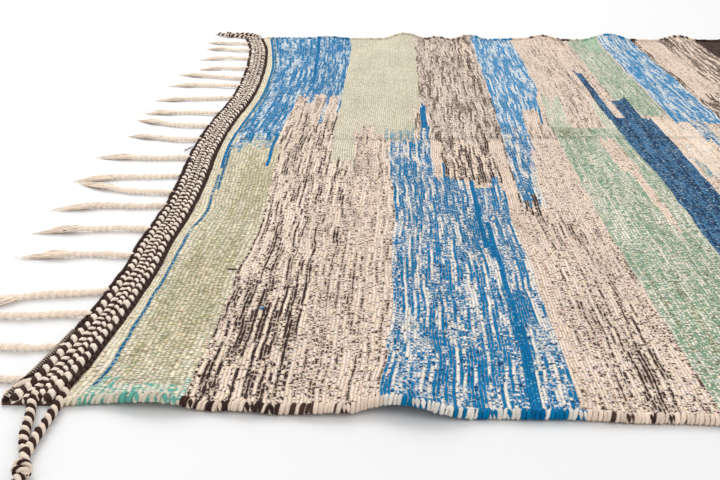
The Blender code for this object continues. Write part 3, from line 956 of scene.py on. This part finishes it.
# %% [markdown]
# ## The selvages
# At each side the weft turns round a thick bundle of warps and goes back, so the edge is a row of
# slanting loops in the stripe's own colours. Each loop is a short yarn that comes out of the cloth,
# goes over the bundle and ends under it. Its colour is drawn from the stripe that it belongs to, and
# often two loops in a row share it, because the same yarn turns back more than once before the next.

# %% Loops of weft round both selvages
LOOP_PATH = [
    # in from the edge, height, slant along, radius (mm)
    (10.5, 3.7, 1.6, 0.7), (8.2, 5.2, 1.2, 1.2), (5.4, 5.9, 0.6, 1.4), (3.0, 5.6, 0.1, 1.45),
    (1.4, 4.1, -0.4, 1.45), (1.4, 2.4, -0.9, 1.4), (3.2, 1.4, -1.2, 1.3), (6.4, 1.2, -1.5, 1.1),
]
LOOP_STREAKS = 0.8      # loops show the streaks a little less than the cloth does
LOOP_STEP = 0.0033
LOOP_CLOSE = 0.97       # how close together they are pushed
LOOP_RUN = (1, 3)       # one or two loops in a row share a colour
LOOP_PLAIN = 0.75       # the share of loops that are all one colour
LOOP_WIDTHS = (0.68, 1.32)      # least and most of what a loop has of each
LOOP_FULL = 1.15        # how much fatter than their step they are
LOOP_HEIGHTS = (0.96, 1.06)
LOOP_SLANTS = (0.5, 1.6)
LOOP_TONES = (0.84, 1.08)


def stripe_colour(along, across, chosen):
    """One yarn's colour, drawn from the stripe at a place of the straight cloth."""
    column = int(np.clip(np.searchsorted(stations, along + FIELD_HALF) - 1, 0, len(stations) - 2))
    row = 0 if across < 0 else ACROSS_COUNT - 1
    ground, streak, share, *_ = STRIPES[STRIPE_NAMES[stripe_grid[column, row]]]
    return streak if chosen.uniform() < share * LOOP_STREAKS else ground


def selvage_loops(side):
    """The loops along one selvage: -1 is the near one."""
    chosen = np.random.default_rng(20 + side)
    skein = Skein()
    path = np.array(LOOP_PATH) * MM
    at = -FIELD_HALF + LOOP_STEP
    left = 0
    while at < FIELD_HALF - LOOP_STEP:
        if left == 0:
            left = chosen.integers(*LOOP_RUN)
            colour = stripe_colour(at, side, chosen)
            other = colour if chosen.uniform() < LOOP_PLAIN else stripe_colour(at, side, chosen)
        left -= 1
        width = chosen.uniform(*LOOP_WIDTHS)
        radius = path[:, 3] * width * LOOP_FULL
        height = np.maximum(path[:, 1] * chosen.uniform(*LOOP_HEIGHTS), radius)
        along = at + path[:, 2] * chosen.uniform(*LOOP_SLANTS)
        places = on_rug(along, side * (EDGE - path[:, 0]), height)
        tone = chosen.uniform(*LOOP_TONES)
        skein.add(places, radius, colour * tone, beside=(1.0, 0.0, 0.0), other=other * tone)
        at += LOOP_STEP * width * LOOP_CLOSE
    return skein.made("selvage_near_loops" if side < 0 else "selvage_far_loops", yarn_wool)


selvages = [selvage_loops(side) for side in (-1, 1)]

# %% [markdown]
# ## The twined bands
# Past the last row of weft the weaver twines yarns round each other across the warps, row after row,
# so that nothing unravels. A dark row lies on each side, then come two rows of fat cream and brown
# beads, and two finer rows between them lean to opposite sides like small chevrons. Twining is just
# what a twisted rope is, so each row is a flattened rope of two yarns, laid on a thin strip that
# stands for the warps beneath. By the near left corner the rows are looser and wider.

# %% Rows of twining
BEAD_CREAM = dye(250, 235, 219)
BEAD_DARK = dye(70, 51, 46)
TWINED = [
    # out from the field, thickness, length of a turn (mm), way of twist, its yarns, how much they swell
    (2.2, 4.6, 9.0, 1, (BEAD_DARK, UMBER), (0, 0)),
    (8.7, 7.8, 14.0, 1, (BEAD_CREAM, BEAD_DARK), (0.22, 0.10)),
    (16.0, 6.6, 10.5, 1, (BEAD_CREAM, BEAD_DARK), (0.20, 0.10)),
    (22.4, 6.6, 10.5, -1, (BEAD_DARK, BEAD_CREAM), (0.10, 0.20)),
    (29.6, 7.8, 14.0, 1, (BEAD_CREAM, BEAD_DARK), (0.22, 0.10)),
    (35.8, 4.8, 8.5, 1, (UMBER, BEAD_DARK), (0, 0)),
]
TWINED_STEP = 0.0015
TWINED_FLAT = 0.62
TWINED_HIGH = 0.0036
LEAST_HIGH = 0.45       # no row lies lower than this share of its thickness
ROW_STRAY = 0.0005      # how far a row strays sideways, and up and down
HIGH_STRAY = 0.0004
THICK_STRAY = 0.12
TURN_MEAN = 1.05        # a turn's length beside the table's: at the middle, at the far selvage more
TURN_ACROSS = 0.07
TURN_STRAY = 0.12
EDGE_YARN_OUT = 0.0379  # a thin cream yarn along the band's outer edge
EDGE_YARN_HIGH = 0.0016
EDGE_YARN_THIN = 0.0009
EDGE_YARN_EVERY = 3     # it has a point at every third place of a row
LOOSE_CORNER = 0.20     # how much wider the rows are at the near left corner
LOOSE_REACH = 0.17
TICK_STEP = 0.0031      # pale warps that show on the outer row by that corner
TICK_OUT = 0.0360
TICK_END = -0.630
TICK_HALF = 0.0020      # half the length of one of them
TICK_HIGH = 0.0066
TICK_ARCH = 0.0016
TICK_SLANT = 0.3
TICK_THIN = 0.0005
TICK_TONE = 0.6


def looser(across, end):
    """How much wider the band is than usual."""
    loose = LOOSE_CORNER if end < 0 else 0.0
    return 1 + loose * bell((across + EDGE) / LOOSE_REACH)


def on_band(end, out, across, height):
    """A place on the band, given how far out from the field it is."""
    x = end * (FIELD_HALF + out * looser(across, end)) + wander(across, end)
    return np.stack(np.broadcast_arrays(x, across, height), -1)


def twined_band(end):
    """The rows of twining at one end, on their strip of warps."""
    chosen = np.random.default_rng(40 + end)
    skein = Skein()
    across = np.arange(-BAND_END, BAND_END, TWINED_STEP)
    for out, thick, turn, hand, colours, swell in TWINED:
        stray = ROW_STRAY * unevenness(across, length=0.05, seed=int(out * 7)) + out * MM
        size = thick * MM * (1 + THICK_STRAY * unevenness(across, length=0.02, seed=int(thick * out)))
        size = size * looser(across, end)
        high = TWINED_HIGH + HIGH_STRAY * unevenness(across, length=0.04, seed=int(out * 5))
        path = on_band(end, stray, across, np.maximum(high, LEAST_HIGH * size))
        stretch = TURN_MEAN + TURN_ACROSS * across / EDGE
        stretch = stretch + TURN_STRAY * unevenness(across, length=0.07, seed=int(out * 3))
        uneven = hand * 2 * math.pi / (turn * MM) * np.cumsum((1 / stretch - 1) * TWINED_STEP)
        phase = chosen.uniform(0, 6) + uneven
        ply(skein, path, size, colours, turn * MM, hand, TWINED_FLAT, phase, swell=swell)
    edge_out = EDGE_YARN_OUT + HIGH_STRAY * unevenness(across, length=0.02, seed=7)
    line = on_band(end, edge_out, across, EDGE_YARN_HIGH)
    skein.add(line[::EDGE_YARN_EVERY], EDGE_YARN_THIN, CREAM, 5)
    if end < 0:
        along_tick = np.linspace(-1, 1, 5)
        high = TICK_HIGH - TICK_ARCH * along_tick**2
        for place in np.arange(-BAND_END + TICK_STEP, TICK_END, TICK_STEP):
            reach = TICK_OUT + TICK_HALF * along_tick
            slanted = place + TICK_SLANT * (reach - reach[0])
            skein.add(on_band(end, reach, slanted, high), TICK_THIN, CREAM * TICK_TONE, 5)
    name = "left_twined_band" if end < 0 else "right_twined_band"
    return skein.made(name, yarn_wool)


twined_bands = [twined_band(end) for end in (-1, 1)]

# %% [markdown]
# ## The strip of warps under the twining
# Between the twined rows the gaps look dark. A low strip with rounded sides stands for the tied warps
# there, and its dark brown is painted shade of the gaps. That is enough, since almost all of it is covered.

# %% Strip of warps
STRIP_SECTION = [
    # out from the field, height (mm)
    (0.3, 0.0), (0.3, 2.6), (1.2, 3.2), (36.6, 3.2), (37.6, 2.6), (37.6, 0.0),
]
STRIP_STATIONS = 160
# dark brown painted shade in the gaps between the twined rows
STRIP_SHADE_BROWN = dye(84, 64, 56)


def warp_strip(end):
    """The low strip under one band."""
    across = np.linspace(-BAND_END, BAND_END, STRIP_STATIONS)
    section = np.array(STRIP_SECTION) * MM
    points = on_band(end, section[None, :, 0], across[:, None], section[None, :, 1])
    size = len(section)
    faces = []
    for i in range(len(across) - 1):
        for j in range(size):
            after = (j + 1) % size
            faces.append([i * size + j, i * size + after, (i + 1) * size + after, (i + 1) * size + j])
    last = (len(across) - 1) * size
    faces += [list(range(size))[::-1], list(range(last, last + size))]
    if end < 0:
        faces = [face[::-1] for face in faces]
    mesh = bpy.data.meshes.new("warps")
    mesh.from_pydata(points.reshape(-1, 3).tolist(), [], faces)
    browns = np.tile([*STRIP_SHADE_BROWN, 1.0], len(mesh.vertices)).astype(np.float32)
    for attribute in ("yarn_colour", "other_colour"):
        stored = mesh.attributes.new(attribute, "FLOAT_COLOR", "POINT")
        stored.data.foreach_set("color", browns)
    stored = mesh.attributes.new("fibre", "FLOAT_VECTOR", "POINT")
    stored.data.foreach_set("vector", points[..., [1, 0, 2]].astype(np.float32).ravel())
    mesh.materials.append(yarn_wool)
    made = bpy.data.objects.new("left_warp_strip" if end < 0 else "right_warp_strip", mesh)
    bpy.context.scene.collection.objects.link(made)
    return made


warp_strips = [warp_strip(end) for end in (-1, 1)]
print("strips of", len(warp_strips[0].data.polygons), "faces")

# %% [markdown]
# ## The fringe
# The warps leave the band in 20 bundles at each end. Each bundle is twisted into a two-ply cord that
# lies on the floor. Towards its tip it untwists and opens into a soft tuft, which is drawn as some
# tens of loose fibres. The right end is the left end turned about.

# %% Bundles of the fringe
FRINGE = [
    # root across, tip across, length (mm)
    (-712, -716, 122), (-656, -667, 120), (-595, -603, 124), (-545, -586, 121), (-455, -455, 100),
    (-381, -384, 108), (-304, -314, 112), (-258, -226, 118), (-192, -214, 120), (-115, -118, 112),
    (-28, -10, 94), (46, 78, 108), (122, 128, 104), (220, 203, 112), (306, 318, 106),
    (368, 406, 108), (451, 450, 72), (542, 541, 78), (621, 640, 80), (690, 700, 74),
]
FRINGE_THICK = 0.0070
FRINGE_SIZES = (0.95, 1.08)     # least and most, beside that thickness
FRINGE_UNEVEN = 0.08    # how much it changes along a bundle
THIN_FROM = 0.85        # a bundle gets thinner from here on
THIN_BY = 0.16
FRINGE_LOW = 0.48       # height of its middle, beside its thickness
FRINGE_LIFT = 0.10      # and how much higher it rises here and there
FRINGE_TURN = 0.0135
FRINGE_TURNS = (0.9, 1.2)
FRINGE_INSIDE = 0.003   # it starts this far inside the band
FRINGE_BEND = 0.0022
FRAY_BEYOND = 0.024     # how far the loosest fibres reach past a bundle's length
FRINGE_STEP = 0.0016
FRINGE_FLAT = 0.78
FRINGE_TONES = (0.95, 1.02)
SECOND_TONES = (0.92, 1.0)
FRINGE_CREAM = dye(255, 237, 218)
CORD_SHARE = 0.76       # how much of a bundle stays twisted
TUFT_FROM = 0.22        # how much of that lies in the tuft of loosened fibres
TUFT_FIBRES = 40
TUFT_WIDE = 0.0068
TUFT_HIGH = 0.0030
TUFT_SWELL = 0.75       # the lower, the nearer its start a tuft is widest
TUFT_REACH = (0.15, 0.5, 1.0)   # how far out of the tip fibres reach: least, most often, most
TUFT_SPLAY = 0.09
TUFT_CURL = 0.0008
TUFT_THICK = (0.0004, 0.0009)
TUFT_TONES = (0.88, 1.03)
FIBRE_THINS = 0.6       # how much thinner a fibre is at its tip
FRAY_CURL = 0.25
FRAY_REACH = (0.5, 1.0)
FRAY_START = 0.0012     # how far off a cord's middle its loose fibres start
FRAY_THICK = (0.0005, 0.0012)
FRAY_FALL = 1.5         # the higher, the sooner they come down
FRAY_TONES = (0.92, 1.05)


def fray(skein, tip, ahead, long, count, spread, colour, chosen):
    """Loose fibres that leave a cord's tip and come down to the floor."""
    ahead = ahead / np.linalg.norm(ahead)
    side = np.array([-ahead[1], ahead[0], 0.0])
    for _ in range(count):
        share = np.linspace(0, 1, 7)[:, None]
        swing = chosen.uniform(-spread, spread)
        curl = chosen.uniform(-FRAY_CURL, FRAY_CURL) * long
        reach = long * chosen.uniform(*FRAY_REACH)
        start = tip + side * chosen.uniform(-FRAY_START, FRAY_START)
        out = swing * reach * share + curl * share**2 * (1 - share) * 2
        path = start + ahead * reach * share + side * out
        thick = chosen.uniform(*FRAY_THICK)
        path[:, 2] = np.maximum(thick, tip[2] * (1 - share[:, 0]) ** FRAY_FALL + thick)
        thinning = thick * (1 - FIBRE_THINS * share[:, 0])
        skein.add(path, thinning, colour * chosen.uniform(*FRAY_TONES), 4)


def tuft(skein, path, tail, colour, chosen):
    """Loosened wool at a bundle's end: it swells round the cord, then thins out to a wisp."""
    ahead = path[-1] - path[-4]
    ahead[2] = 0
    ahead /= np.linalg.norm(ahead)
    side = np.array([-ahead[1], ahead[0], 0.0])
    share = np.linspace(0, 1, 9)
    arch = np.sin(math.pi * share**TUFT_SWELL)
    for _ in range(TUFT_FIBRES):
        start = path[len(path) - 1 - chosen.integers(0, int(len(path) * TUFT_FROM))]
        reach = np.linalg.norm(path[-1] - start) + tail * chosen.triangular(*TUFT_REACH)
        out = chosen.uniform(-1, 1) * TUFT_WIDE * arch
        out = out + chosen.uniform(-TUFT_SPLAY, TUFT_SPLAY) * reach * share**2
        out = out + TUFT_CURL * unevenness(share, length=0.3, seed=int(chosen.integers(0, 9999)))
        thick = chosen.uniform(*TUFT_THICK) * (1 - FIBRE_THINS * share)
        fibre = start + ahead * (reach * share)[:, None] + side * out[:, None]
        fibre[:, 2] = start[2] * (1 - share) + chosen.uniform(0, TUFT_HIGH) * arch + thick
        skein.add(fibre, thick, colour * chosen.uniform(*TUFT_TONES), 4)


def fringe(end):
    """All the bundles of one end."""
    chosen = np.random.default_rng(60 + end)
    skein = Skein()
    for root, tip, long in FRINGE:
        root, tip, long = -end * root * MM, -end * tip * MM, long * MM
        share = np.linspace(0, CORD_SHARE, 9)
        out = BAND_WIDTH - FRINGE_INSIDE + (long + FRINGE_INSIDE) * share
        bend = np.sin(share * chosen.uniform(5, 9) + chosen.uniform(0, 6))
        bend = FRINGE_BEND * bend * np.minimum(1, share * 4)
        across = root + (tip - root) * share**2 + bend
        x = end * (FIELD_HALF + out) + wander(np.float64(root), end)
        path = even(np.stack([x, across, x * 0], -1), FRINGE_STEP)
        along = np.linspace(0, 1, len(path))
        size = FRINGE_THICK * chosen.uniform(*FRINGE_SIZES)
        size = size * (1 + FRINGE_UNEVEN * unevenness(along, length=0.16, seed=int(abs(root) * 1e4)))
        size = size * (1 - THIN_BY * np.clip((along - THIN_FROM) / (1 - THIN_FROM), 0, 1))
        lifted = np.maximum(0, unevenness(along, length=0.5, seed=int(long * 1e4)))
        path[:, 2] = size * (FRINGE_LOW + FRINGE_LIFT * lifted)
        colour = FRINGE_CREAM * chosen.uniform(*FRINGE_TONES)
        pair = (colour, colour * chosen.uniform(*SECOND_TONES))
        pitch = FRINGE_TURN * chosen.uniform(*FRINGE_TURNS)
        ply(skein, path, size, pair, pitch, flat=FRINGE_FLAT, phase=chosen.uniform(0, 6))
        tuft(skein, path, long * (1 - CORD_SHARE) + FRAY_BEYOND, colour, chosen)
    return skein.made("left_fringe" if end < 0 else "right_fringe", yarn_wool)


fringes = [fringe(end) for end in (-1, 1)]

# %% [markdown]
# ## The corner ropes
# At each corner the leftover twining yarns are plied into ropes. The two near the left end join and
# finish in one knot. A rope's route is a short list of places by the corner, almost the same as in
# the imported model. The knot is a rope wound nearly twice round the first one in a swelling coil.

# %% Ropes and knots
TASSELS = {
    # along the rug away from the field, out from the selvage (mm from the corner of the outline)
    "tassel_near_left": [
        [(-18, 0), (-23, 22), (-28, 48), (-36, 70), (-42, 92), (-41, 114), (-38, 134)],
        [(-39, 0), (-38, 22), (-37, 46), (-37, 62), (-37, 77)],
    ],
    "tassel_far_left": [
        [(-10, 0), (2, 16), (20, 28), (40, 34), (56, 43), (66, 52)],
        [(-30, 0), (-25, 20), (-12, 38), (6, 49), (25, 49), (38, 34)],
    ],
    "tassel_near_right": [[(-14, 0), (-10, 22), (-4, 44), (4, 64), (14, 82), (26, 96)]],
    "tassel_far_right": [[(-14, 0), (-13, 24), (-10, 46), (-9, 68), (-12, 88), (-16, 104)]],
}
ROPE_THICK = 0.0078
ROPE_HIGH = 0.0043      # height of a rope's middle, so that its thickest part is clear of the floor
ROPE_TURN = 0.0125
ROPE_STEP = 0.0015
ROPE_SIDES = 7
ROPE_UNEVEN = 0.06
ROPE_INSIDE = 0.014     # a rope starts this far inside the band
ROPE_LEAN = 0.15        # and this much of its first stretch further along
ROPE_RAISED = 0.0006
ROPE_FIBRES = 7         # loose fibres of each colour at a rope's end, their length and spread
ROPE_FRAY = 0.013
ROPE_SPREAD = 0.5
KNOT_AT = 0.72          # how far along its rope a knot sits
KNOT_TURNS = 1.7
KNOT_POINTS = 60
KNOT_COIL = 0.0046      # radius of the knot's turns
KNOT_LONG = 0.0050
KNOT_UNEVEN = 0.3
KNOT_FLAT = 0.75
KNOT_ROPE = 0.0056
KNOT_RAISED = 0.0015
KNOT_CLEAR = 0.0002     # least gap between the knot and the floor
KNOT_YARNS = (CREAM, CREAM * 0.94, DARK_BROWN)


def wound_knot(skein, path):
    """A coil of rope round the rope, which stands for an overhand knot."""
    place = round(KNOT_AT * (len(path) - 1))
    ahead, right, over = (vectors[place] for vectors in directions(path))
    turn = np.linspace(0, KNOT_TURNS * 2 * math.pi, KNOT_POINTS)
    spread = np.linspace(-KNOT_LONG, KNOT_LONG, KNOT_POINTS) * (1 + KNOT_UNEVEN * np.sin(turn))
    coil = path[place] + ahead * spread[:, None] + right * (KNOT_COIL * np.cos(turn))[:, None]
    coil = coil + over * (KNOT_FLAT * KNOT_COIL * np.sin(turn))[:, None]
    coil[:, 2] = np.maximum(coil[:, 2] + KNOT_RAISED, KNOT_ROPE / 2 + KNOT_CLEAR)
    ply(skein, coil, KNOT_ROPE, KNOT_YARNS, ROPE_TURN, sides=ROPE_SIDES)


def tassel(name):
    """The ropes of one corner."""
    side = -1 if "near" in name else 1
    end = -1 if "left" in name else 1
    chosen = np.random.default_rng(80 + side + 3 * end)
    corner_x = end * (FIELD_HALF + BAND_WIDTH) + float(wander(np.float64(side * EDGE), end))
    skein = Skein()
    for number, route in enumerate(TASSELS[name]):
        table = np.array(route, float) * MM
        x = corner_x + end * table[:, 0]
        y = side * (BAND_END + table[:, 1])
        z = np.full(len(table), ROPE_HIGH)
        first_x = x[0] + ROPE_LEAN * (x[0] - x[1])
        first = [first_x, y[0] - side * ROPE_INSIDE, ROPE_HIGH + ROPE_RAISED]
        points = np.concatenate([[first], np.stack([x, y, z], -1)])
        path = even(points, ROPE_STEP)
        share = np.linspace(0, 1, len(path))
        size = ROPE_THICK * (1 + ROPE_UNEVEN * unevenness(share, length=0.2, seed=number + 5))
        colours = (CREAM, DARK_BROWN)
        phase = chosen.uniform(0, 6)
        ply(skein, path, size, colours, ROPE_TURN, phase=phase, sides=ROPE_SIDES)
        if number == 0:
            wound_knot(skein, path)
            ahead = path[-1] - path[-4]
            for colour in colours:
                fray(skein, path[-2], ahead, ROPE_FRAY, ROPE_FIBRES, ROPE_SPREAD, colour, chosen)
    return skein.made(name.replace("tassel", "rope"), yarn_wool)


ropes = {name: tassel(name) for name in TASSELS}
for name, routes in TASSELS.items():
    lengths = [measured(np.array(route) * MM)[-1] for route in routes]
    print(name, "is", [round(float(length), 3) for length in lengths], "m long")

# %% [markdown]
# ## Loose ends
# A hand-made rug keeps a few yarn ends that were never trimmed: a dark tail and a cream one at the
# near left corner, two short ends on the field, and curls of dark yarn beside the band. Each is one
# yarn along a few points that lies on what is under it.

# %% Yarn ends
END_BLUE = dye(70, 140, 190)
END_STEP = 0.0012
END_THIN_FROM = 0.7     # a yarn end gets thinner from here on
END_THIN_BY = 0.45
LOOSE_ENDS = [
    # colour, radius (mm), places in metres
    (UMBER, 1.5, [(-1.2329, -0.7094, 0.0062), (-1.2375, -0.7145, 0.0062), (-1.2416, -0.7192, 0.0045),
                  (-1.2450, -0.7290, 0.0018), (-1.2464, -0.7390, 0.0016)]),
    (CREAM, 2.1, [(-1.2300, -0.7180, 0.0068), (-1.2370, -0.7240, 0.0070), (-1.2440, -0.7285, 0.0040),
                  (-1.2480, -0.7330, 0.0022), (-1.2440, -0.7400, 0.0040), (-1.2380, -0.7420, 0.0060)]),
    (DARK_BROWN, 0.8, [(-1.1120, -0.4917, 0.0048), (-1.1070, -0.4925, 0.0054), (-1.1020, -0.4914, 0.0048)]),
    (END_BLUE, 1.0, [(-1.0690, -0.5796, 0.0046), (-1.0670, -0.5793, 0.0051), (-1.0650, -0.5788, 0.0046)]),
    (DARK_BROWN, 0.5, [(-1.2190, -0.0730, 0.0060), (-1.2290, -0.0700, 0.0050), (-1.2368, -0.0725, 0.0014),
                       (-1.2400, -0.0640, 0.0006)]),
    (DARK_BROWN, 0.4, [(-1.2250, -0.0790, 0.0060), (-1.2330, -0.0740, 0.0030), (-1.2390, -0.0780, 0.0008)]),
    (DARK_BROWN, 0.6, [(-1.3060, -0.4012, 0.0074), (-1.3046, -0.4006, 0.0080), (-1.3030, -0.4000, 0.0074)]),
]


def loose_ends():
    """The untrimmed yarn ends."""
    skein = Skein()
    for colour, radius, places in LOOSE_ENDS:
        path = even(places, END_STEP)
        share = np.linspace(0, 1, len(path))
        thinner = END_THIN_BY * np.clip((share - END_THIN_FROM) / (1 - END_THIN_FROM), 0, 1)
        skein.add(path, radius * MM * (1 - thinner), colour)
    return skein.made("loose_yarn_ends", yarn_wool)


yarn_ends = loose_ends()

# %% [markdown]
# ## Riding on the frame
# Every piece rides on a body and hides the imported node that it stands for. A rug has no joints, so there
# is one body, and every piece goes with it.

def dress(piece, material_slot, *nodes):
    """Rides on the root body and hides the imported nodes that it stands for. The finish it is given is not
    used.
    """
    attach(piece, "root")
    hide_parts(*nodes)


dress(woven_field, "woven_wool", "rug_field")
for piece in selvages:
    dress(piece, "woven_wool", "rug_field")
for pieces in (twined_bands, warp_strips, fringes):
    for piece, node in zip(pieces, ("end_band_left", "end_band_right")):
        dress(piece, "twined_wool", node)
for name, piece in ropes.items():
    dress(piece, "plied_wool", name)
dress(yarn_ends, "plied_wool", "end_band_left")

# %% [markdown]
# ## Floor, light and camera
# The floor is a plain pale surface and the light is that of a bright studio: a white surround that
# fills every shadow, and two large soft lamps. The camera stands where the picture was taken from,
# low by the left end, and looks down a little more than 20 degrees.

# %% Floor
FLOOR_SIZE = 14.0
FLOOR_DROP = 0.0003
FLOOR_PALE = 0.765
FLOOR_ROUGH = 0.6


def pale_floor():
    """A large plain floor just under the rug."""
    half = FLOOR_SIZE / 2
    corners = [(x, y, -FLOOR_DROP) for x, y in ((-half, -half), (half, -half), (half, half), (-half, half))]
    mesh = bpy.data.meshes.new("floor")
    mesh.from_pydata(corners, [], [(0, 1, 2, 3)])
    recipe = Recipe("pale floor")
    recipe.shader.inputs["Base Color"].default_value = (FLOOR_PALE, FLOOR_PALE, FLOOR_PALE, 1)
    recipe.shader.inputs["Roughness"].default_value = FLOOR_ROUGH
    mesh.materials.append(recipe.material)
    made = bpy.data.objects.new("floor", mesh)
    bpy.context.scene.collection.objects.link(made)
    return made


pale_floor()

# %% Lights
LAMPS = [
    # name, place, size, watts
    ("window lamp", (-2.6, 2.4, 2.6), 2.6, 95),
    ("front lamp", (1.6, -2.8, 2.8), 3.0, 45),
]
LAMPS_AIM = Vector((-0.3, 0, 0))
for name, place, size, watts in LAMPS:
    lamp = bpy.data.lights.new(name, "AREA")
    lamp.size = size
    lamp.energy = watts
    stand = bpy.data.objects.new(name, lamp)
    stand.location = place
    stand.rotation_euler = (LAMPS_AIM - Vector(place)).to_track_quat("-Z", "Y").to_euler()
    bpy.context.scene.collection.objects.link(stand)

SURROUND = 0.80
world = bpy.data.worlds.new("studio")
world.use_nodes = True
world.node_tree.nodes["Background"].inputs["Color"].default_value = (1.0, 1.0, 1.0, 1)
world.node_tree.nodes["Background"].inputs["Strength"].default_value = SURROUND
bpy.context.scene.world = world
bpy.context.scene.view_settings.view_transform = "Standard"
print(len(LAMPS), "lamps and a surround of", SURROUND)

# %% Camera
CAMERA_PLACE = (-0.9487, -1.4014, 0.404)
LOOK_DOWN = math.radians(21.9)
LOOK_LEFT = math.radians(1.98)
camera = bpy.data.cameras.new("camera")
camera.lens = 50
camera.sensor_width = 36
viewer = bpy.data.objects.new("camera", camera)
viewer.location = CAMERA_PLACE
viewer.rotation_euler = (math.pi / 2 - LOOK_DOWN, 0, LOOK_LEFT)
bpy.context.scene.collection.objects.link(viewer)
bpy.context.scene.camera = viewer
